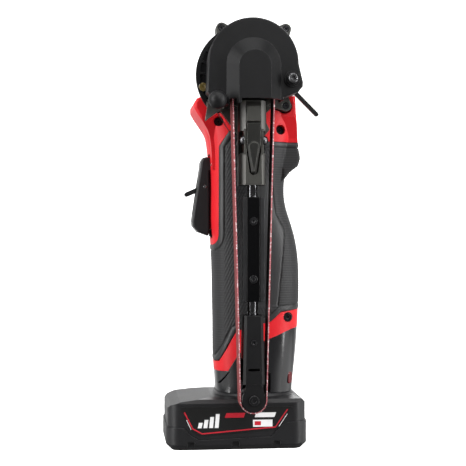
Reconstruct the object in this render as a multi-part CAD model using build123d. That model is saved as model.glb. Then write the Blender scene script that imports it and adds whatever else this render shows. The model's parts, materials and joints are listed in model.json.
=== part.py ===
from build123d import *
import math
import os

# Cordless band file, standing on its battery with the arm folded down beside the handle.
# Millimetres. Origin on the ground below the drive spindle. +X palm side, -X paddle side,
# -Y belt side, +Z up. The clamshell halves meet on the plane Y = 0.

# ---------------------------------------------------------------- driving dimensions
SPINDLE_Z = 228.4
IDLER_Z = 32.2
DRIVE_R = 12.3
IDLER_R = 7.3
BELT_THICK = 0.8
BELT_FRONT, BELT_BACK = -45.5, -32.5
RUN_GAP = 0.05

CASE_FRONT, CASE_BACK = -22.0, 22.0
CASE_R = 24.5
PLATE_FRONT = -25.0
NECK_FRONT = -31.0
NECK_R = 14.0
NECK_BORE_R = 9.4
GUARD_FRONT, GUARD_BACK = -28.0, -25.4
BRACKET_FRONT, BRACKET_BACK = -30.2, -28.4
COVER_FRONT = -46.5
COVER_WALL = 1.5
DOME_FRONT = -54.0
EAR_CENTRE = (2.6, 230.3)
EAR_HALF_PITCH = (19.5, 23.2)
EAR_R = 3.3
EAR_DEEP = 7.0
EAR_HOLE_R = 1.5
EAR_SINK_R = 2.3
EAR_SCREW_R = 1.1

SOCKET_BOTTOM = 33.0
TOWER_X = 5.2
TOWER_HALF_X, TOWER_HALF_Y = 20.6, 18.8
TOWER_POWER = 3.0
TOWER_TOP = 101.0
CELL_R = 9.1
CELL_LONG = 65.0

# handle outline at each height: z, paddle side x, palm side x, half depth
HANDLE = (
    (SOCKET_BOTTOM, -19.0, 28.9, 22.0),
    (44.5, -19.3, 29.8, 22.4),
    (57.0, -19.9, 31.1, 22.8),
    (72.0, -20.0, 32.2, 23.0),
    (90.0, -20.3, 33.0, 23.0),
    (107.0, -20.6, 33.0, 22.8),
    (122.0, -21.3, 31.6, 22.6),
    (135.0, -22.4, 28.4, 22.4),
    (147.5, -22.5, 24.6, 22.2),
    (160.0, -22.4, 23.8, 22.4),
    (172.0, -22.8, 25.6, 22.8),
    (186.0, -24.2, 28.6, 23.2),
    (198.0, -27.0, 29.6, 23.4),
    (206.0, -28.4, 29.8, 23.4),
)
HANDLE_POWER = 2.8
OUTLINE_POINTS = 24
GRIP_THICK = 1.6
CAVITY_INSET = 3.6
SOCKET_INSET = 2.4


# ---------------------------------------------------------------- building blocks
def box_between(x_range, y_range, z_range):
    size = [hi - lo for lo, hi in (x_range, y_range, z_range)]
    middle = [(hi + lo) / 2 for lo, hi in (x_range, y_range, z_range)]
    return Pos(*middle) * Box(*size)


def rod_x(radius, x_range, y, z):
    low, high = x_range
    return Pos((low + high) / 2, y, z) * Rot(0, 90, 0) * Cylinder(radius, high - low)


def rod_y(radius, y_range, x=0.0, z=SPINDLE_Z):
    low, high = y_range
    return Pos(x, (low + high) / 2, z) * Rot(90, 0, 0) * Cylinder(radius, high - low)


def rod_z(radius, z_range, x=0.0, y=0.0):
    low, high = z_range
    return Pos(x, y, (low + high) / 2) * Cylinder(radius, high - low)


def front_prism(points, y_range):
    """Outline drawn in the X-Z front view, extruded through a Y range."""
    low, high = y_range
    face = Plane.XZ.offset(-high) * Polygon(*points, align=None)
    return extrude(face, high - low, dir=(0, -1, 0))


def side_prism(points, x_range):
    """Outline drawn in the Y-Z side view, extruded through an X range."""
    low, high = x_range
    face = Plane.YZ.offset(low) * Polygon(*points, align=None)
    return extrude(face, high - low, dir=(1, 0, 0))


def oval_section(left, right, depth, z, inset, power=HANDLE_POWER):
    """Smooth closed outline at one height, between an ellipse and a rectangle."""
    centre = (left + right) / 2
    half = (right - left) / 2 - inset
    deep = depth - inset
    points = []
    for step in range(OUTLINE_POINTS):
        turn = 2 * math.pi * step / OUTLINE_POINTS
        across, along = math.cos(turn), math.sin(turn)
        x = centre + half * math.copysign(abs(across) ** (2 / power), across)
        y = deep * math.copysign(abs(along) ** (2 / power), along)
        points.append((x, y, z))
    return Face(Wire([Edge.make_spline(points, periodic=True)]))


def handle_body(inset):
    return loft([oval_section(left, right, depth, z, inset) for z, left, right, depth in HANDLE])


def hull_face(discs):
    """Face stretched round circles given as (x, z, radius) in the front view."""
    edges = [(Pos(x, z) * Circle(radius)).edge() for x, z, radius in discs]
    return make_hull(edges)


def hull_prism(discs, y_range):
    low, high = y_range
    return extrude(Plane.XZ.offset(-high) * hull_face(discs), high - low, dir=(0, -1, 0))


def bearing(radii, width, centre_location, balls):
    """Outer ring, inner ring and balls of one bearing, axis along local Z."""
    bore, inner, outer_bore, outside = radii
    ball_r = (outer_bore - inner) / 2 - RUN_GAP
    ball_circle = (outer_bore + inner) / 2
    outer_ring = Cylinder(outside, width) - Cylinder(outer_bore, width)
    inner_ring = Cylinder(inner, width) - Cylinder(bore, width)
    ball_set = [
        centre_location * loc * Sphere(ball_r)
        for loc in PolarLocations(ball_circle, balls)
    ]
    return centre_location * outer_ring, centre_location * inner_ring, ball_set


def screw_y(x, z, y_head, head, shank):
    """Round head screw along Y, driven toward +Y. head and shank are (radius, length)."""
    head_r, head_long = head
    shank_r, shank_long = shank
    body = rod_y(head_r, (y_head, y_head + head_long), x, z)
    body += rod_y(shank_r, (y_head + head_long, y_head + head_long + shank_long), x, z)
    socket_depth = head_long * 0.6
    socket = Plane.XZ.offset(-y_head) * Pos(x, z) * RegularPolygon(head_r * 0.5, 6)
    return body - extrude(socket, -socket_depth)


# ---------------------------------------------------------------- gear case and front plate
SKIRT = ((-21.0, 208.0), (-4.6, 186.0), (7.0, 186.0), (12.4, 192.6), (8.0, 200.6), (16.0, 208.0))
SKIRT_BACK = -14.0
BOSS_R = 16.0
BOSS_BOTTOM = 189.0
BOSS_BORE_R = 8.0
CASE_WALL = 4.0
CASE_EDGE = 8.0
FIN_HALF_LONG, FIN_HALF_WIDE, FIN_PROUD, FIN_PITCH = 14.0, 1.0, 1.2, 8.0
REAR_WALL_Y = 11.0
FRONT_BEARING_Y = (-30.4, -23.4)
FRONT_BEARING_RADII = (4.5, 6.4, 8.8, 11.0)
FRONT_BALLS = 9
REAR_BEARING_Y = (13.0, 18.0)
REAR_BEARING_RADII = (4.5, 5.4, 6.8, 8.0)
REAR_BALLS = 10
LEVER_AT = (26.5, 217.6)
LEVER_PIVOT_R = 1.6
LEVER_HEAD_R = 2.4
WEB_SHARE = 0.6
WEB_R = 9.0


def ear_places():
    cx, cz = EAR_CENTRE
    dx, dz = EAR_HALF_PITCH
    return [(cx + sx * dx, cz + sz * dz) for sx in (-1, 1) for sz in (-1, 1)]


def ears(y_range, grow=0.0):
    """Four screw ears, each tied to the round body by a tapering web."""
    solids = None
    for x, z in ear_places():
        root = (WEB_SHARE * x, SPINDLE_Z + WEB_SHARE * (z - SPINDLE_Z), WEB_R + grow)
        web = hull_prism([(x, z, EAR_R + grow), root], y_range)
        solids = web if solids is None else solids + web
    return solids


def gear_case():
    barrel = rod_y(CASE_R, (CASE_FRONT, CASE_BACK))
    barrel = fillet(barrel.edges().filter_by(GeomType.CIRCLE).sort_by(Axis.Y)[-1], CASE_EDGE)
    body = barrel + ears((CASE_FRONT, CASE_FRONT + EAR_DEEP))
    body += rod_z(BOSS_R, (BOSS_BOTTOM, SPINDLE_Z - 12.0))
    body += front_prism(SKIRT, (PLATE_FRONT + 0.4, SKIRT_BACK))
    body -= rod_y(CASE_R, (PLATE_FRONT, CASE_FRONT)) + ears((PLATE_FRONT, CASE_FRONT))
    fin_long = (-FIN_HALF_LONG, FIN_HALF_LONG)
    fin_deep = (CASE_BACK - 3.0, CASE_BACK + FIN_PROUD)
    for fin in (-1.5, -0.5, 0.5, 1.5):
        z = SPINDLE_Z + FIN_PITCH * fin
        body += box_between(fin_long, fin_deep, (z - FIN_HALF_WIDE, z + FIN_HALF_WIDE))
    body -= rod_y(CASE_R - CASE_WALL, (CASE_FRONT, REAR_WALL_Y))
    body -= rod_y(REAR_BEARING_RADII[-1], (REAR_WALL_Y, REAR_BEARING_Y[1]))
    body -= rod_z(BOSS_BORE_R, (BOSS_BOTTOM, SPINDLE_Z))
    body -= rod_z(BOSS_R - 3.0, (BOSS_BOTTOM, BOSS_BOTTOM + 3.0))
    for x, z in ear_places():
        body -= rod_y(EAR_SCREW_R, (CASE_FRONT, CASE_FRONT + 6.2), x, z)
    return body


def bearing_plate():
    body = rod_y(CASE_R, (PLATE_FRONT, CASE_FRONT)) + ears((PLATE_FRONT, CASE_FRONT))
    body += rod_y(NECK_R, (NECK_FRONT, PLATE_FRONT))
    body += hull_prism([(*LEVER_AT, 4.0), (18.0, 222.0, 6.0)], (PLATE_FRONT, CASE_FRONT))
    body += rod_y(LEVER_PIVOT_R, (GUARD_FRONT - 0.2, PLATE_FRONT), *LEVER_AT)
    body += rod_y(LEVER_HEAD_R, (GUARD_FRONT - 0.2, GUARD_FRONT), *LEVER_AT)
    body -= rod_y(FRONT_BEARING_RADII[-1], (NECK_FRONT + 0.6, FRONT_BEARING_Y[1]))
    body -= rod_y(NECK_BORE_R, (NECK_FRONT, CASE_FRONT))
    for x, z in ear_places():
        body -= rod_y(EAR_HOLE_R, (PLATE_FRONT, CASE_FRONT), x, z)
        body -= rod_y(EAR_SINK_R, (PLATE_FRONT, PLATE_FRONT + 2.0), x, z)
    return body


def ear_screws():
    head, shank = (2.1, 1.7), (EAR_SCREW_R, 7.0)
    return [screw_y(x, z, PLATE_FRONT + 0.3, head, shank) for x, z in ear_places()]


def spindle_bearings():
    outers, inners = [], []
    for (low, high), radii, balls in (
        (FRONT_BEARING_Y, FRONT_BEARING_RADII, FRONT_BALLS),
        (REAR_BEARING_Y, REAR_BEARING_RADII, REAR_BALLS),
    ):
        spot = Pos(0, (low + high) / 2, SPINDLE_Z) * Rot(90, 0, 0)
        outer, inner, ball_set = bearing(radii, high - low, spot, balls)
        outers += [outer] + ball_set
        inners.append(inner)
    return outers, inners


# ---------------------------------------------------------------- handle shells and grips
WING_TOP = 213.6
WING = (
    (-27.0, WING_TOP), (-31.4, 211.6), (-33.0, 209.0), (-33.0, 205.8), (-31.0, 202.2), (-27.6, 197.3),
    (-24.8, 192.9), (-23.3, 188.9), (-22.4, 182.0), (-21.6, 169.0), (-17.8, 169.0), (-17.8, 183.0),
    (-12.3, 191.5), (-8.7, 194.0), (7.0, 194.0), (11.6, 185.6), (30.9, 185.6), (30.0, 196.0),
    (29.3, 204.0), (28.9, WING_TOP),
)
WING_ROUND = 2.0
WING_CORNER = 1.2
WING_SLOPE = (
    (-20.5, 215.0), (-20.5, 201.0), (-16.0, 188.0), (-15.0, 169.0),
    (15.0, 169.0), (16.0, 188.0), (20.5, 201.0), (20.5, 215.0),
)
WING_DEPTH = 20.5
BULGE = (
    (21.0, 185.6), (30.9, 185.6), (31.0, 182.4), (32.0, 178.0), (32.2, 175.6), (30.9, 171.2),
    (25.6, 167.2), (23.6, 164.4), (21.0, 162.0),
)
BULGE_DEPTH = 17.0
BULGE_EDGE = 0.8
GRIP = (
    (-8.7, 194.0), (-12.3, 191.5), (-17.8, 183.0), (-17.8, 128.8), (-18.4, 125.8), (-19.6, 123.8),
    (-21.0, 122.9), (-22.6, 124.0), (-40.0, 128.0), (-40.0, 44.0), (-21.0, 50.8), (-17.2, 52.0),
    (-7.5, 70.6), (-3.2, 72.2), (13.4, 76.4), (19.6, 82.0), (40.0, 84.4), (40.0, 185.6),
    (11.6, 185.6), (7.0, 184.0), (-4.6, 184.0),
)
COLLAR = (
    (40.0, 20.0), (40.0, 74.0), (25.7, 71.4), (14.0, 66.6), (-3.2, 60.1), (-7.5, 54.7),
    (-12.3, 46.3), (-19.0, 45.8), (-40.0, 38.0), (-40.0, 20.0),
)
PADDLE_POCKET = ((-40.0, 126.8), (-15.0, 126.8), (-15.0, 150.0), (-18.5, 178.5), (-40.0, 178.5))
PADDLE_POCKET_HALF = 8.6
PADDLE_PIVOT = (-20.6, 172.0)
SCREW_WELLS = ((-18.1, 197.8), (19.6, 193.0))
SHORT_WELL = (24.2, 78.8)
SHORT_WELL_Y = -16.6
SHORT_HOLE_END = -13.0
WELL_R = 3.0
WELL_FLOOR = 12.0
POST_WALL = 1.5
POST_REACH = 24.0
CASE_SCREW_HEAD = (2.6, 2.2)
CASE_SCREW_SHANK = (1.5, 22.0)
SHORT_SCREW_SHANK = (1.2, 1.6)
CASE_SCREW_HOLE_R = 1.6
PADDLE_PIN_R = 1.5
PADDLE_PIN_Y = (-10.4, 10.4)
VENT_PITCH, VENT_HALF, VENT_Z = 6.0, 1.3, (189.5, 199.0)
LATCH_Z = (SOCKET_BOTTOM, 45.0)
LATCH_HALF = 8.0
SLIT = ((-11.2, 46.0), (-12.4, 45.2), (-17.8, 38.2), (-16.6, 38.2))
FAR = 60.0


def half(solid, side):
    """Keep the front (-1) or the rear (+1) half of a solid."""
    y_range = (-FAR, 0.0) if side < 0 else (0.0, FAR)
    return solid & box_between((-FAR, FAR), y_range, (0.0, 2 * SPINDLE_Z))


def outer_rim(block, face_order):
    """Edges of the front or rear face of the wings, on their outer sides only."""
    rim = block.faces().sort_by(Axis.Y)[face_order].edges()
    return [edge for edge in rim if edge.center().Z < 213.0 and not -20.0 < edge.center().X < 28.0]


def head_block():
    """Wings either side of the gear case, sloping back into the handle lower down."""
    block = front_prism(WING, (-WING_DEPTH, WING_DEPTH))
    corners = [edge for edge in block.edges().filter_by(Axis.Y) if edge.center().Z > 200.0]
    block = fillet(sorted(corners, key=lambda edge: edge.center().X)[0:4], WING_CORNER)
    block = fillet(outer_rim(block, 0), WING_ROUND)
    block = fillet(outer_rim(block, -1), WING_ROUND)
    return block & side_prism(WING_SLOPE, (-FAR, FAR))


def case_envelope():
    """Room taken out of the shells for the gear case, the skirt and its neck."""
    room = rod_y(CASE_R, (-FAR, CASE_BACK)) + rod_z(BOSS_R, (BOSS_BOTTOM, SPINDLE_Z))
    room += front_prism(SKIRT, (-FAR, SKIRT_BACK))
    room += box_between((-FAR, FAR), (-FAR, FAR), (WING_TOP, 2 * SPINDLE_Z))
    behind_ears = (-FAR, CASE_FRONT + EAR_DEEP + 0.4)
    for x, z in ear_places():
        room += rod_y(EAR_R + 1.2, behind_ears, x, z)
    return room + ears(behind_ears, 0.6)


def vent_slots():
    slots = None
    for count in (-2, -1, 0, 1, 2):
        x = VENT_PITCH * count
        slot = box_between((x - VENT_HALF, x + VENT_HALF), (14.0, FAR), VENT_Z)
        slots = slot if slots is None else slots + slot
    return slots


def wells(side):
    """Screw wells sunk from outside."""
    y_out, y_in = (-FAR, -WELL_FLOOR) if side < 0 else (WELL_FLOOR, FAR)
    cut = None
    for x, z in SCREW_WELLS:
        well = rod_y(WELL_R, (y_out, y_in), x, z)
        cut = well if cut is None else cut + well
    return cut


def battery_bay():
    """Room for the battery tower, kept clear through the shells and their posts."""
    outline = (TOWER_X - TOWER_HALF_X - 0.3, TOWER_X + TOWER_HALF_X + 0.3, TOWER_HALF_Y + 0.3)
    heights = (SOCKET_BOTTOM - 2.0, TOWER_TOP + 1.0)
    return loft([oval_section(*outline, z, 0.0, TOWER_POWER) for z in heights], ruled=True)


def screw_towers(side, shell_room):
    """Posts inside each half that the case screws pull together."""
    y_range = (-POST_REACH, 0.0) if side < 0 else (0.0, POST_REACH)
    posts = None
    for x, z in SCREW_WELLS:
        post = rod_y(WELL_R + POST_WALL, y_range, x, z)
        posts = post if posts is None else posts + post
    if side < 0:
        posts += rod_y(WELL_R + POST_WALL, (-POST_REACH, SHORT_HOLE_END - 0.2), *SHORT_WELL)
    return posts & shell_room


def palm_bulge():
    """Rubber swelling on the palm side, eased along its front and rear outlines."""
    bulge = front_prism(BULGE, (-BULGE_DEPTH, BULGE_DEPTH))
    bulge = chamfer(bulge.faces().sort_by(Axis.Y)[0].edges(), BULGE_EDGE)
    return chamfer(bulge.faces().sort_by(Axis.Y)[-1].edges(), BULGE_EDGE)


def battery_collar(outer, collar_mask):
    """Open sleeve under the shells, with latch notches and one slit in front."""
    collar = (outer - handle_body(SOCKET_INSET)) & collar_mask
    collar -= box_between((TOWER_X - LATCH_HALF, TOWER_X + LATCH_HALF), (-FAR, FAR), LATCH_Z)
    return collar - front_prism(SLIT, (-FAR, 0.0))


def shell_holes():
    """Screw holes, the short screw's well and the paddle pin's hole."""
    holes = rod_y(WELL_R, (-FAR, SHORT_WELL_Y), *SHORT_WELL)
    holes += rod_y(SHORT_SCREW_SHANK[0], (SHORT_WELL_Y, SHORT_HOLE_END), *SHORT_WELL)
    for x, z in SCREW_WELLS:
        holes += rod_y(CASE_SCREW_HOLE_R, (-FAR, FAR), x, z)
    return holes + rod_y(PADDLE_PIN_R, PADDLE_PIN_Y, *PADDLE_PIVOT)


def shell_parts():
    """Clamshell halves, grip overmoulds and lower collar, cut from one handle body."""
    outer = handle_body(0.0)
    under_grip = handle_body(GRIP_THICK)
    cavity = handle_body(CAVITY_INSET)
    pocket = front_prism(PADDLE_POCKET, (-PADDLE_POCKET_HALF, PADDLE_POCKET_HALF))
    collar_mask = front_prism(COLLAR, (-FAR, FAR))
    taken = case_envelope() + battery_bay() + pocket + collar_mask
    grips = ((outer - under_grip) & front_prism(GRIP, (-FAR, FAR))) + (palm_bulge() - under_grip)
    grips -= taken
    shell = (outer + head_block()) - taken - grips
    holes = shell_holes()
    parts = {"battery_collar": battery_collar(outer, collar_mask)}
    for name, side in (("front", -1), ("rear", 1)):
        posts = half(cavity, side) & screw_towers(side, cavity)
        shell_half = half(shell - cavity, side) + posts
        parts[name + "_shell"] = shell_half - taken - wells(side) - holes
        parts[name + "_grip"] = half(grips, side) - wells(side) - holes
    parts["rear_shell"] -= vent_slots()
    return parts


def shell_screws():
    head_y = -WELL_FLOOR - CASE_SCREW_HEAD[1]
    screws = [screw_y(x, z, head_y, CASE_SCREW_HEAD, CASE_SCREW_SHANK) for x, z in SCREW_WELLS]
    short_y = SHORT_WELL_Y - CASE_SCREW_HEAD[1]
    return screws + [screw_y(*SHORT_WELL, short_y, CASE_SCREW_HEAD, SHORT_SCREW_SHANK)]


# ---------------------------------------------------------------- motor
MOTOR_R = 16.6
STACK = (147.0, 180.0)
ROTOR_R = 8.6
SHAFT_R = 2.4
TEETH = 6
AIR_GAP = 0.6
YOKE_RING = 2.2
TOOTH_HALF, SHOE_HALF, SHOE_DEEP = 1.3, 3.4, 1.1
COIL_HALF, COIL_OVERHANG = 3.0, 2.5
MAGNETS = 4
MAGNET_SLOT_R, MAGNET_SLOT_HALF, MAGNET_SLOT_DEEP = (5.4, 6.8), 3.6, 5.0
SHAFT_Z = (137.0, 213.0)
FAN_R, FAN_HUB_R, FAN_BLADES = 14.0, 5.0, 9
FAN_DISC_Z, FAN_BLADE_Z, FAN_HUB_Z = (183.4, 184.6), (184.0, 187.8), (184.0, 188.0)
MOUNT_Z = (138.5, 144.0)
MOUNT_WINDOW_R, MOUNT_WINDOW_HALF = (9.0, 14.5), 3.0
MOTOR_BEARINGS = ((139.5, 144.5, 7.0), (190.5, 196.5, 8.0))
MOTOR_BALLS = 8


def stator_core():
    ring = rod_z(MOTOR_R, STACK) - rod_z(MOTOR_R - YOKE_RING, STACK)
    shoe_r = ROTOR_R + AIR_GAP
    for tooth in range(TEETH):
        turn = Rot(0, 0, 360 / TEETH * tooth)
        ring += turn * box_between((shoe_r + 1.0, MOTOR_R - 1.5), (-TOOTH_HALF, TOOTH_HALF), STACK)
        ring += turn * box_between((shoe_r, shoe_r + SHOE_DEEP), (-SHOE_HALF, SHOE_HALF), STACK)
    return ring - rod_z(ROTOR_R + 0.5, STACK)


def stator_coils():
    low, high = STACK
    coils = []
    for tooth in range(TEETH):
        turn = Rot(0, 0, 360 / TEETH * tooth)
        pad = box_between(
            (ROTOR_R + AIR_GAP + 1.4, MOTOR_R - YOKE_RING - 0.6),
            (-COIL_HALF, COIL_HALF),
            (low - COIL_OVERHANG, high + COIL_OVERHANG),
        )
        core = (-TOOTH_HALF - RUN_GAP, TOOTH_HALF + RUN_GAP)
        pad -= box_between((0, MOTOR_R), core, (low - 0.1, high + 0.1))
        coils.append(turn * pad)
    return coils


def rotor_core():
    body = rod_z(ROTOR_R, (STACK[0] + 1.0, STACK[1] - 1.0)) - rod_z(SHAFT_R, STACK)
    slot_half, slot_z = (-MAGNET_SLOT_HALF, MAGNET_SLOT_HALF), (STACK[1] - MAGNET_SLOT_DEEP, STACK[1])
    for magnet in range(MAGNETS):
        body -= Rot(0, 0, 360 / MAGNETS * magnet) * box_between(MAGNET_SLOT_R, slot_half, slot_z)
    return body


def motor_shaft():
    shaft = rod_z(SHAFT_R, SHAFT_Z)
    return chamfer(shaft.edges().filter_by(GeomType.CIRCLE), 0.4)


def cooling_fan():
    fan = rod_z(FAN_HUB_R, FAN_HUB_Z) + rod_z(FAN_R, FAN_DISC_Z)
    vane = Pos(0, 1.5, 0) * box_between((FAN_HUB_R - 1.0, FAN_R - 0.2), (-0.5, 0.5), FAN_BLADE_Z)
    for blade in range(FAN_BLADES):
        fan += Rot(0, 0, 360 / FAN_BLADES * blade) * vane
    return fan - rod_z(SHAFT_R, SHAFT_Z)


def motor_mount():
    """Ring that holds the lower motor bearing under the stator."""
    low, high, seat_r = MOTOR_BEARINGS[0]
    ring = rod_z(MOTOR_R, MOUNT_Z) - rod_z(seat_r, (low, high)) - rod_z(seat_r - 2.0, (low - 1.5, low))
    window = box_between(MOUNT_WINDOW_R, (-MOUNT_WINDOW_HALF, MOUNT_WINDOW_HALF), MOTOR_BEARINGS[0][0:2])
    window += Pos(0, 0, -1.5) * window
    for turn in (45, 135, 225, 315):
        ring -= Rot(0, 0, turn) * window
    return ring


def motor_bearings():
    outers, inners = [], []
    for low, high, outside in MOTOR_BEARINGS:
        spot = Pos(0, 0, (low + high) / 2)
        radii = (SHAFT_R, SHAFT_R + 1.2, SHAFT_R + 3.2, outside)
        outer, inner, ball_set = bearing(radii, high - low, spot, MOTOR_BALLS)
        outers += [outer] + ball_set
        inners.append(inner)
    return outers, inners


# ---------------------------------------------------------------- bevel gears, spindle, pulley
MODULE = 1.4
GEAR_TEETH = 21
PINION_TEETH = 12
FACE_SHARE = 0.30
TOOTH_SHARE = 0.33
TIP_HEIGHT, ROOT_DEPTH = 0.65 * MODULE, 1.05 * MODULE
PINION_HUB_R, PINION_HUB_LONG = 6.4, 5.0
GEAR_HUB_R, GEAR_HUB_LONG = 9.0, 8.0
SPINDLE_R, JOURNAL_R, COLLAR_R = 4.5, 3.5, 6.0
SPINDLE_Y = (-32.8, 18.0)
JOURNAL_Y = (-46.4, SPINDLE_Y[0])
THREAD_R = 1.5
PULLEY_Y = (-45.2, -32.8)
PULLEY_HOLES, PULLEY_HOLE_R, PULLEY_HOLE_CIRCLE = 5, 2.0, 8.0
PULLEY_RECESS_R, PULLEY_RECESS_DEEP = (5.4, 10.6), 1.2
CIRCLIP_Y = (-30.9, -30.3)


def bevel_outline(teeth, scale):
    """Gear outline with straight sided teeth, the first tooth on local +X."""
    pitch_r = MODULE * teeth / 2
    tip_r = pitch_r + TIP_HEIGHT
    root_r = pitch_r - ROOT_DEPTH
    pitch_angle = 2 * math.pi / teeth
    points = []
    for tooth in range(teeth):
        middle = tooth * pitch_angle
        corners = (
            (root_r, -TOOTH_SHARE * 0.80), (tip_r, -TOOTH_SHARE * 0.30),
            (tip_r, TOOTH_SHARE * 0.30), (root_r, TOOTH_SHARE * 0.80),
        )
        for radius, share in corners:
            turn = middle + share * pitch_angle
            points.append((scale * radius * math.cos(turn), scale * radius * math.sin(turn)))
    return Polygon(*points, align=None)


def bevel_gear_solid(teeth, mate_teeth):
    """Bevel gear on local Z with the cone apex at the origin, teeth facing it."""
    reach = MODULE * mate_teeth / 2
    small = 1.0 - FACE_SHARE
    wide_face = Plane.XY.offset(-reach) * bevel_outline(teeth, 1.0)
    narrow_face = Plane.XY.offset(-reach * small) * bevel_outline(teeth, small)
    return loft([wide_face, narrow_face], ruled=True)


def pinion_gear():
    body = bevel_gear_solid(PINION_TEETH, GEAR_TEETH)
    body = Pos(0, 0, SPINDLE_Z) * Rot(0, 0, 90) * body
    reach = MODULE * GEAR_TEETH / 2
    body += rod_z(PINION_HUB_R, (SPINDLE_Z - reach - PINION_HUB_LONG, SPINDLE_Z - reach))
    return body - rod_z(SHAFT_R, SHAFT_Z)


def bevel_gear():
    body = bevel_gear_solid(GEAR_TEETH, PINION_TEETH)
    body = Pos(0, 0, SPINDLE_Z) * Rot(90, 0, 0) * Rot(0, 180, 0) * Rot(0, 0, 90) * body
    reach = MODULE * PINION_TEETH / 2
    body += rod_y(GEAR_HUB_R, (-reach - GEAR_HUB_LONG, -reach))
    return body - rod_y(SPINDLE_R, SPINDLE_Y)


def output_spindle():
    shaft = rod_y(SPINDLE_R, SPINDLE_Y) + rod_y(JOURNAL_R, JOURNAL_Y)
    shaft += rod_y(COLLAR_R, (SPINDLE_Y[0], SPINDLE_Y[0] + 1.6))
    flat = box_between((-SPINDLE_R, SPINDLE_R), (JOURNAL_Y[0], -33.5), (SPINDLE_Z + 3.0, SPINDLE_Z + 5.0))
    return shaft - flat - rod_y(THREAD_R, (JOURNAL_Y[0], -36.0))


def drive_pulley():
    wheel = rod_y(DRIVE_R - RUN_GAP, PULLEY_Y)
    wheel = chamfer(wheel.edges().filter_by(GeomType.CIRCLE), 0.6)
    wheel -= rod_y(JOURNAL_R, PULLEY_Y)
    for hole in range(PULLEY_HOLES):
        turn = 2 * math.pi * hole / PULLEY_HOLES + math.radians(18)
        x = PULLEY_HOLE_CIRCLE * math.cos(turn)
        z = SPINDLE_Z + PULLEY_HOLE_CIRCLE * math.sin(turn)
        wheel -= rod_y(PULLEY_HOLE_R, PULLEY_Y, x, z)
    inner_r, outer_r = PULLEY_RECESS_R
    recess_y = (PULLEY_Y[0], PULLEY_Y[0] + PULLEY_RECESS_DEEP)
    return wheel - (rod_y(outer_r, recess_y) - rod_y(inner_r, recess_y))


def pulley_screw():
    return screw_y(0.0, SPINDLE_Z, JOURNAL_Y[0] - 2.4, (4.6, 2.4), (THREAD_R, 10.0))


def neck_circlip():
    ring = rod_y(NECK_R + 2.0, CIRCLIP_Y) - rod_y(NECK_R, CIRCLIP_Y)
    return ring - box_between((-2.0, 2.0), CIRCLIP_Y, (SPINDLE_Z + 9.0, SPINDLE_Z + 20.0))


# ---------------------------------------------------------------- guard
GUARD_CENTRE = (-2.0, 224.6)
GUARD_R = 30.6
GUARD_BOLT_AT = (-28.2, 217.4)
GUARD_BOLT_R, GUARD_BOLT_SHANK_R = 2.5, 1.6
GUARD_RIM = 2.4
GUARD_HUB_R = 20.0
GUARD_SECTOR = ((14.0, 262.0), (-6.0, 232.0), (-10.0, 212.0), (-34.0, 196.0), (-44.0, 262.0))
GUARD_RIBS, RIB_START, RIB_STEP = 7, 118, 15
RIB_CIRCLE, RIB_SIZE = 25.0, (9.0, 1.0, 1.0)
LEVER_BAR = ((26.9, 215.4, 1.2), (40.5, 201.8, 1.2))
LEVER_HUB_R = 3.4


def spark_guard():
    cx, cz = GUARD_CENTRE
    plate = rod_y(GUARD_R, (GUARD_FRONT, GUARD_BACK), cx, cz)
    sector = front_prism(GUARD_SECTOR, (-FAR, FAR))
    plate = plate & sector
    recess = rod_y(GUARD_R - GUARD_RIM, (GUARD_FRONT, GUARD_FRONT + 0.9), cx, cz) & sector
    plate -= recess - rod_y(GUARD_HUB_R + 1.5, (-FAR, FAR))
    for rib in range(GUARD_RIBS):
        spoke = Pos(cx, GUARD_FRONT + 0.5, cz) * Rot(0, -RIB_START - RIB_STEP * rib, 0)
        bar = spoke * Pos(RIB_CIRCLE, 0, 0) * Box(*RIB_SIZE)
        plate += bar & rod_y(GUARD_R - 0.5, (-FAR, FAR), cx, cz)
    plate += rod_y(GUARD_HUB_R, (GUARD_FRONT, GUARD_BACK))
    plate -= rod_y(NECK_R + RUN_GAP, (-FAR, FAR))
    plate -= rod_y(GUARD_BOLT_R, (-FAR, GUARD_FRONT + 0.9), *GUARD_BOLT_AT)
    return plate - rod_y(GUARD_BOLT_SHANK_R, (-FAR, FAR), *GUARD_BOLT_AT)


def guard_bolt():
    head, shank = (GUARD_BOLT_R, 1.2), (GUARD_BOLT_SHANK_R, 1.6)
    return screw_y(*GUARD_BOLT_AT, GUARD_FRONT - 0.3, head, shank)


def guard_lever():
    """Flat bar lever that swings on a pin in the front plate."""
    y_range = (GUARD_FRONT + 0.1, GUARD_BACK + 0.2)
    bar = hull_prism(LEVER_BAR, y_range) + rod_y(LEVER_HUB_R, y_range, *LEVER_AT)
    return bar - rod_y(LEVER_PIVOT_R + RUN_GAP, (-FAR, FAR), *LEVER_AT)


# ---------------------------------------------------------------- arm bracket and belt cover
COVER_EDGE_Z = 205.2
COVER_MOUTH_Z = 208.2
COVER_BOTTOM = ((29.2, 218.6), (29.0, 216.0), (26.4, 213.0), (17.9, 209.4), (17.6, COVER_EDGE_Z),
                (-20.0, COVER_EDGE_Z), (-27.2, 212.4))
COVER_ARC_Z = 229.7
COVER_R = 26.6
COVER_ROUND = 1.0
DOME_BASE = (16.0, 244.4)
DOME_FLAT = (9.4, 236.2)
COVER_SCREW_AT = (22.6, 220.4)
COVER_SCREW_R = 1.6
BOSS_STEPS = ((4.6, 1.2), (3.4, 2.4))
KNOB_AT = (-21.9, 206.8)
KNOB_R, KNOB_NECK_R, KNOB_STEM_R, KNOB_HOLE_R = 5.4, 3.4, 2.0, 2.7
KNOB_LUG_R = 4.6
POINTER_THICK = 1.8
POINTER = ((-27.0, 206.0), (-28.8, 194.9), (-18.0, 202.8), (-18.0, 207.0))
ARM_Y = -39.0
ROD_R = 3.3
SPRING_BORE_R = 4.0
PLATE_R = 24.0
ARM_HALF = 7.8
ARM_BOTTOM, BLOCK_TOP, LEVER_TOP, ARM_TOP = 158.3, 176.9, 194.4, 207.8
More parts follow.
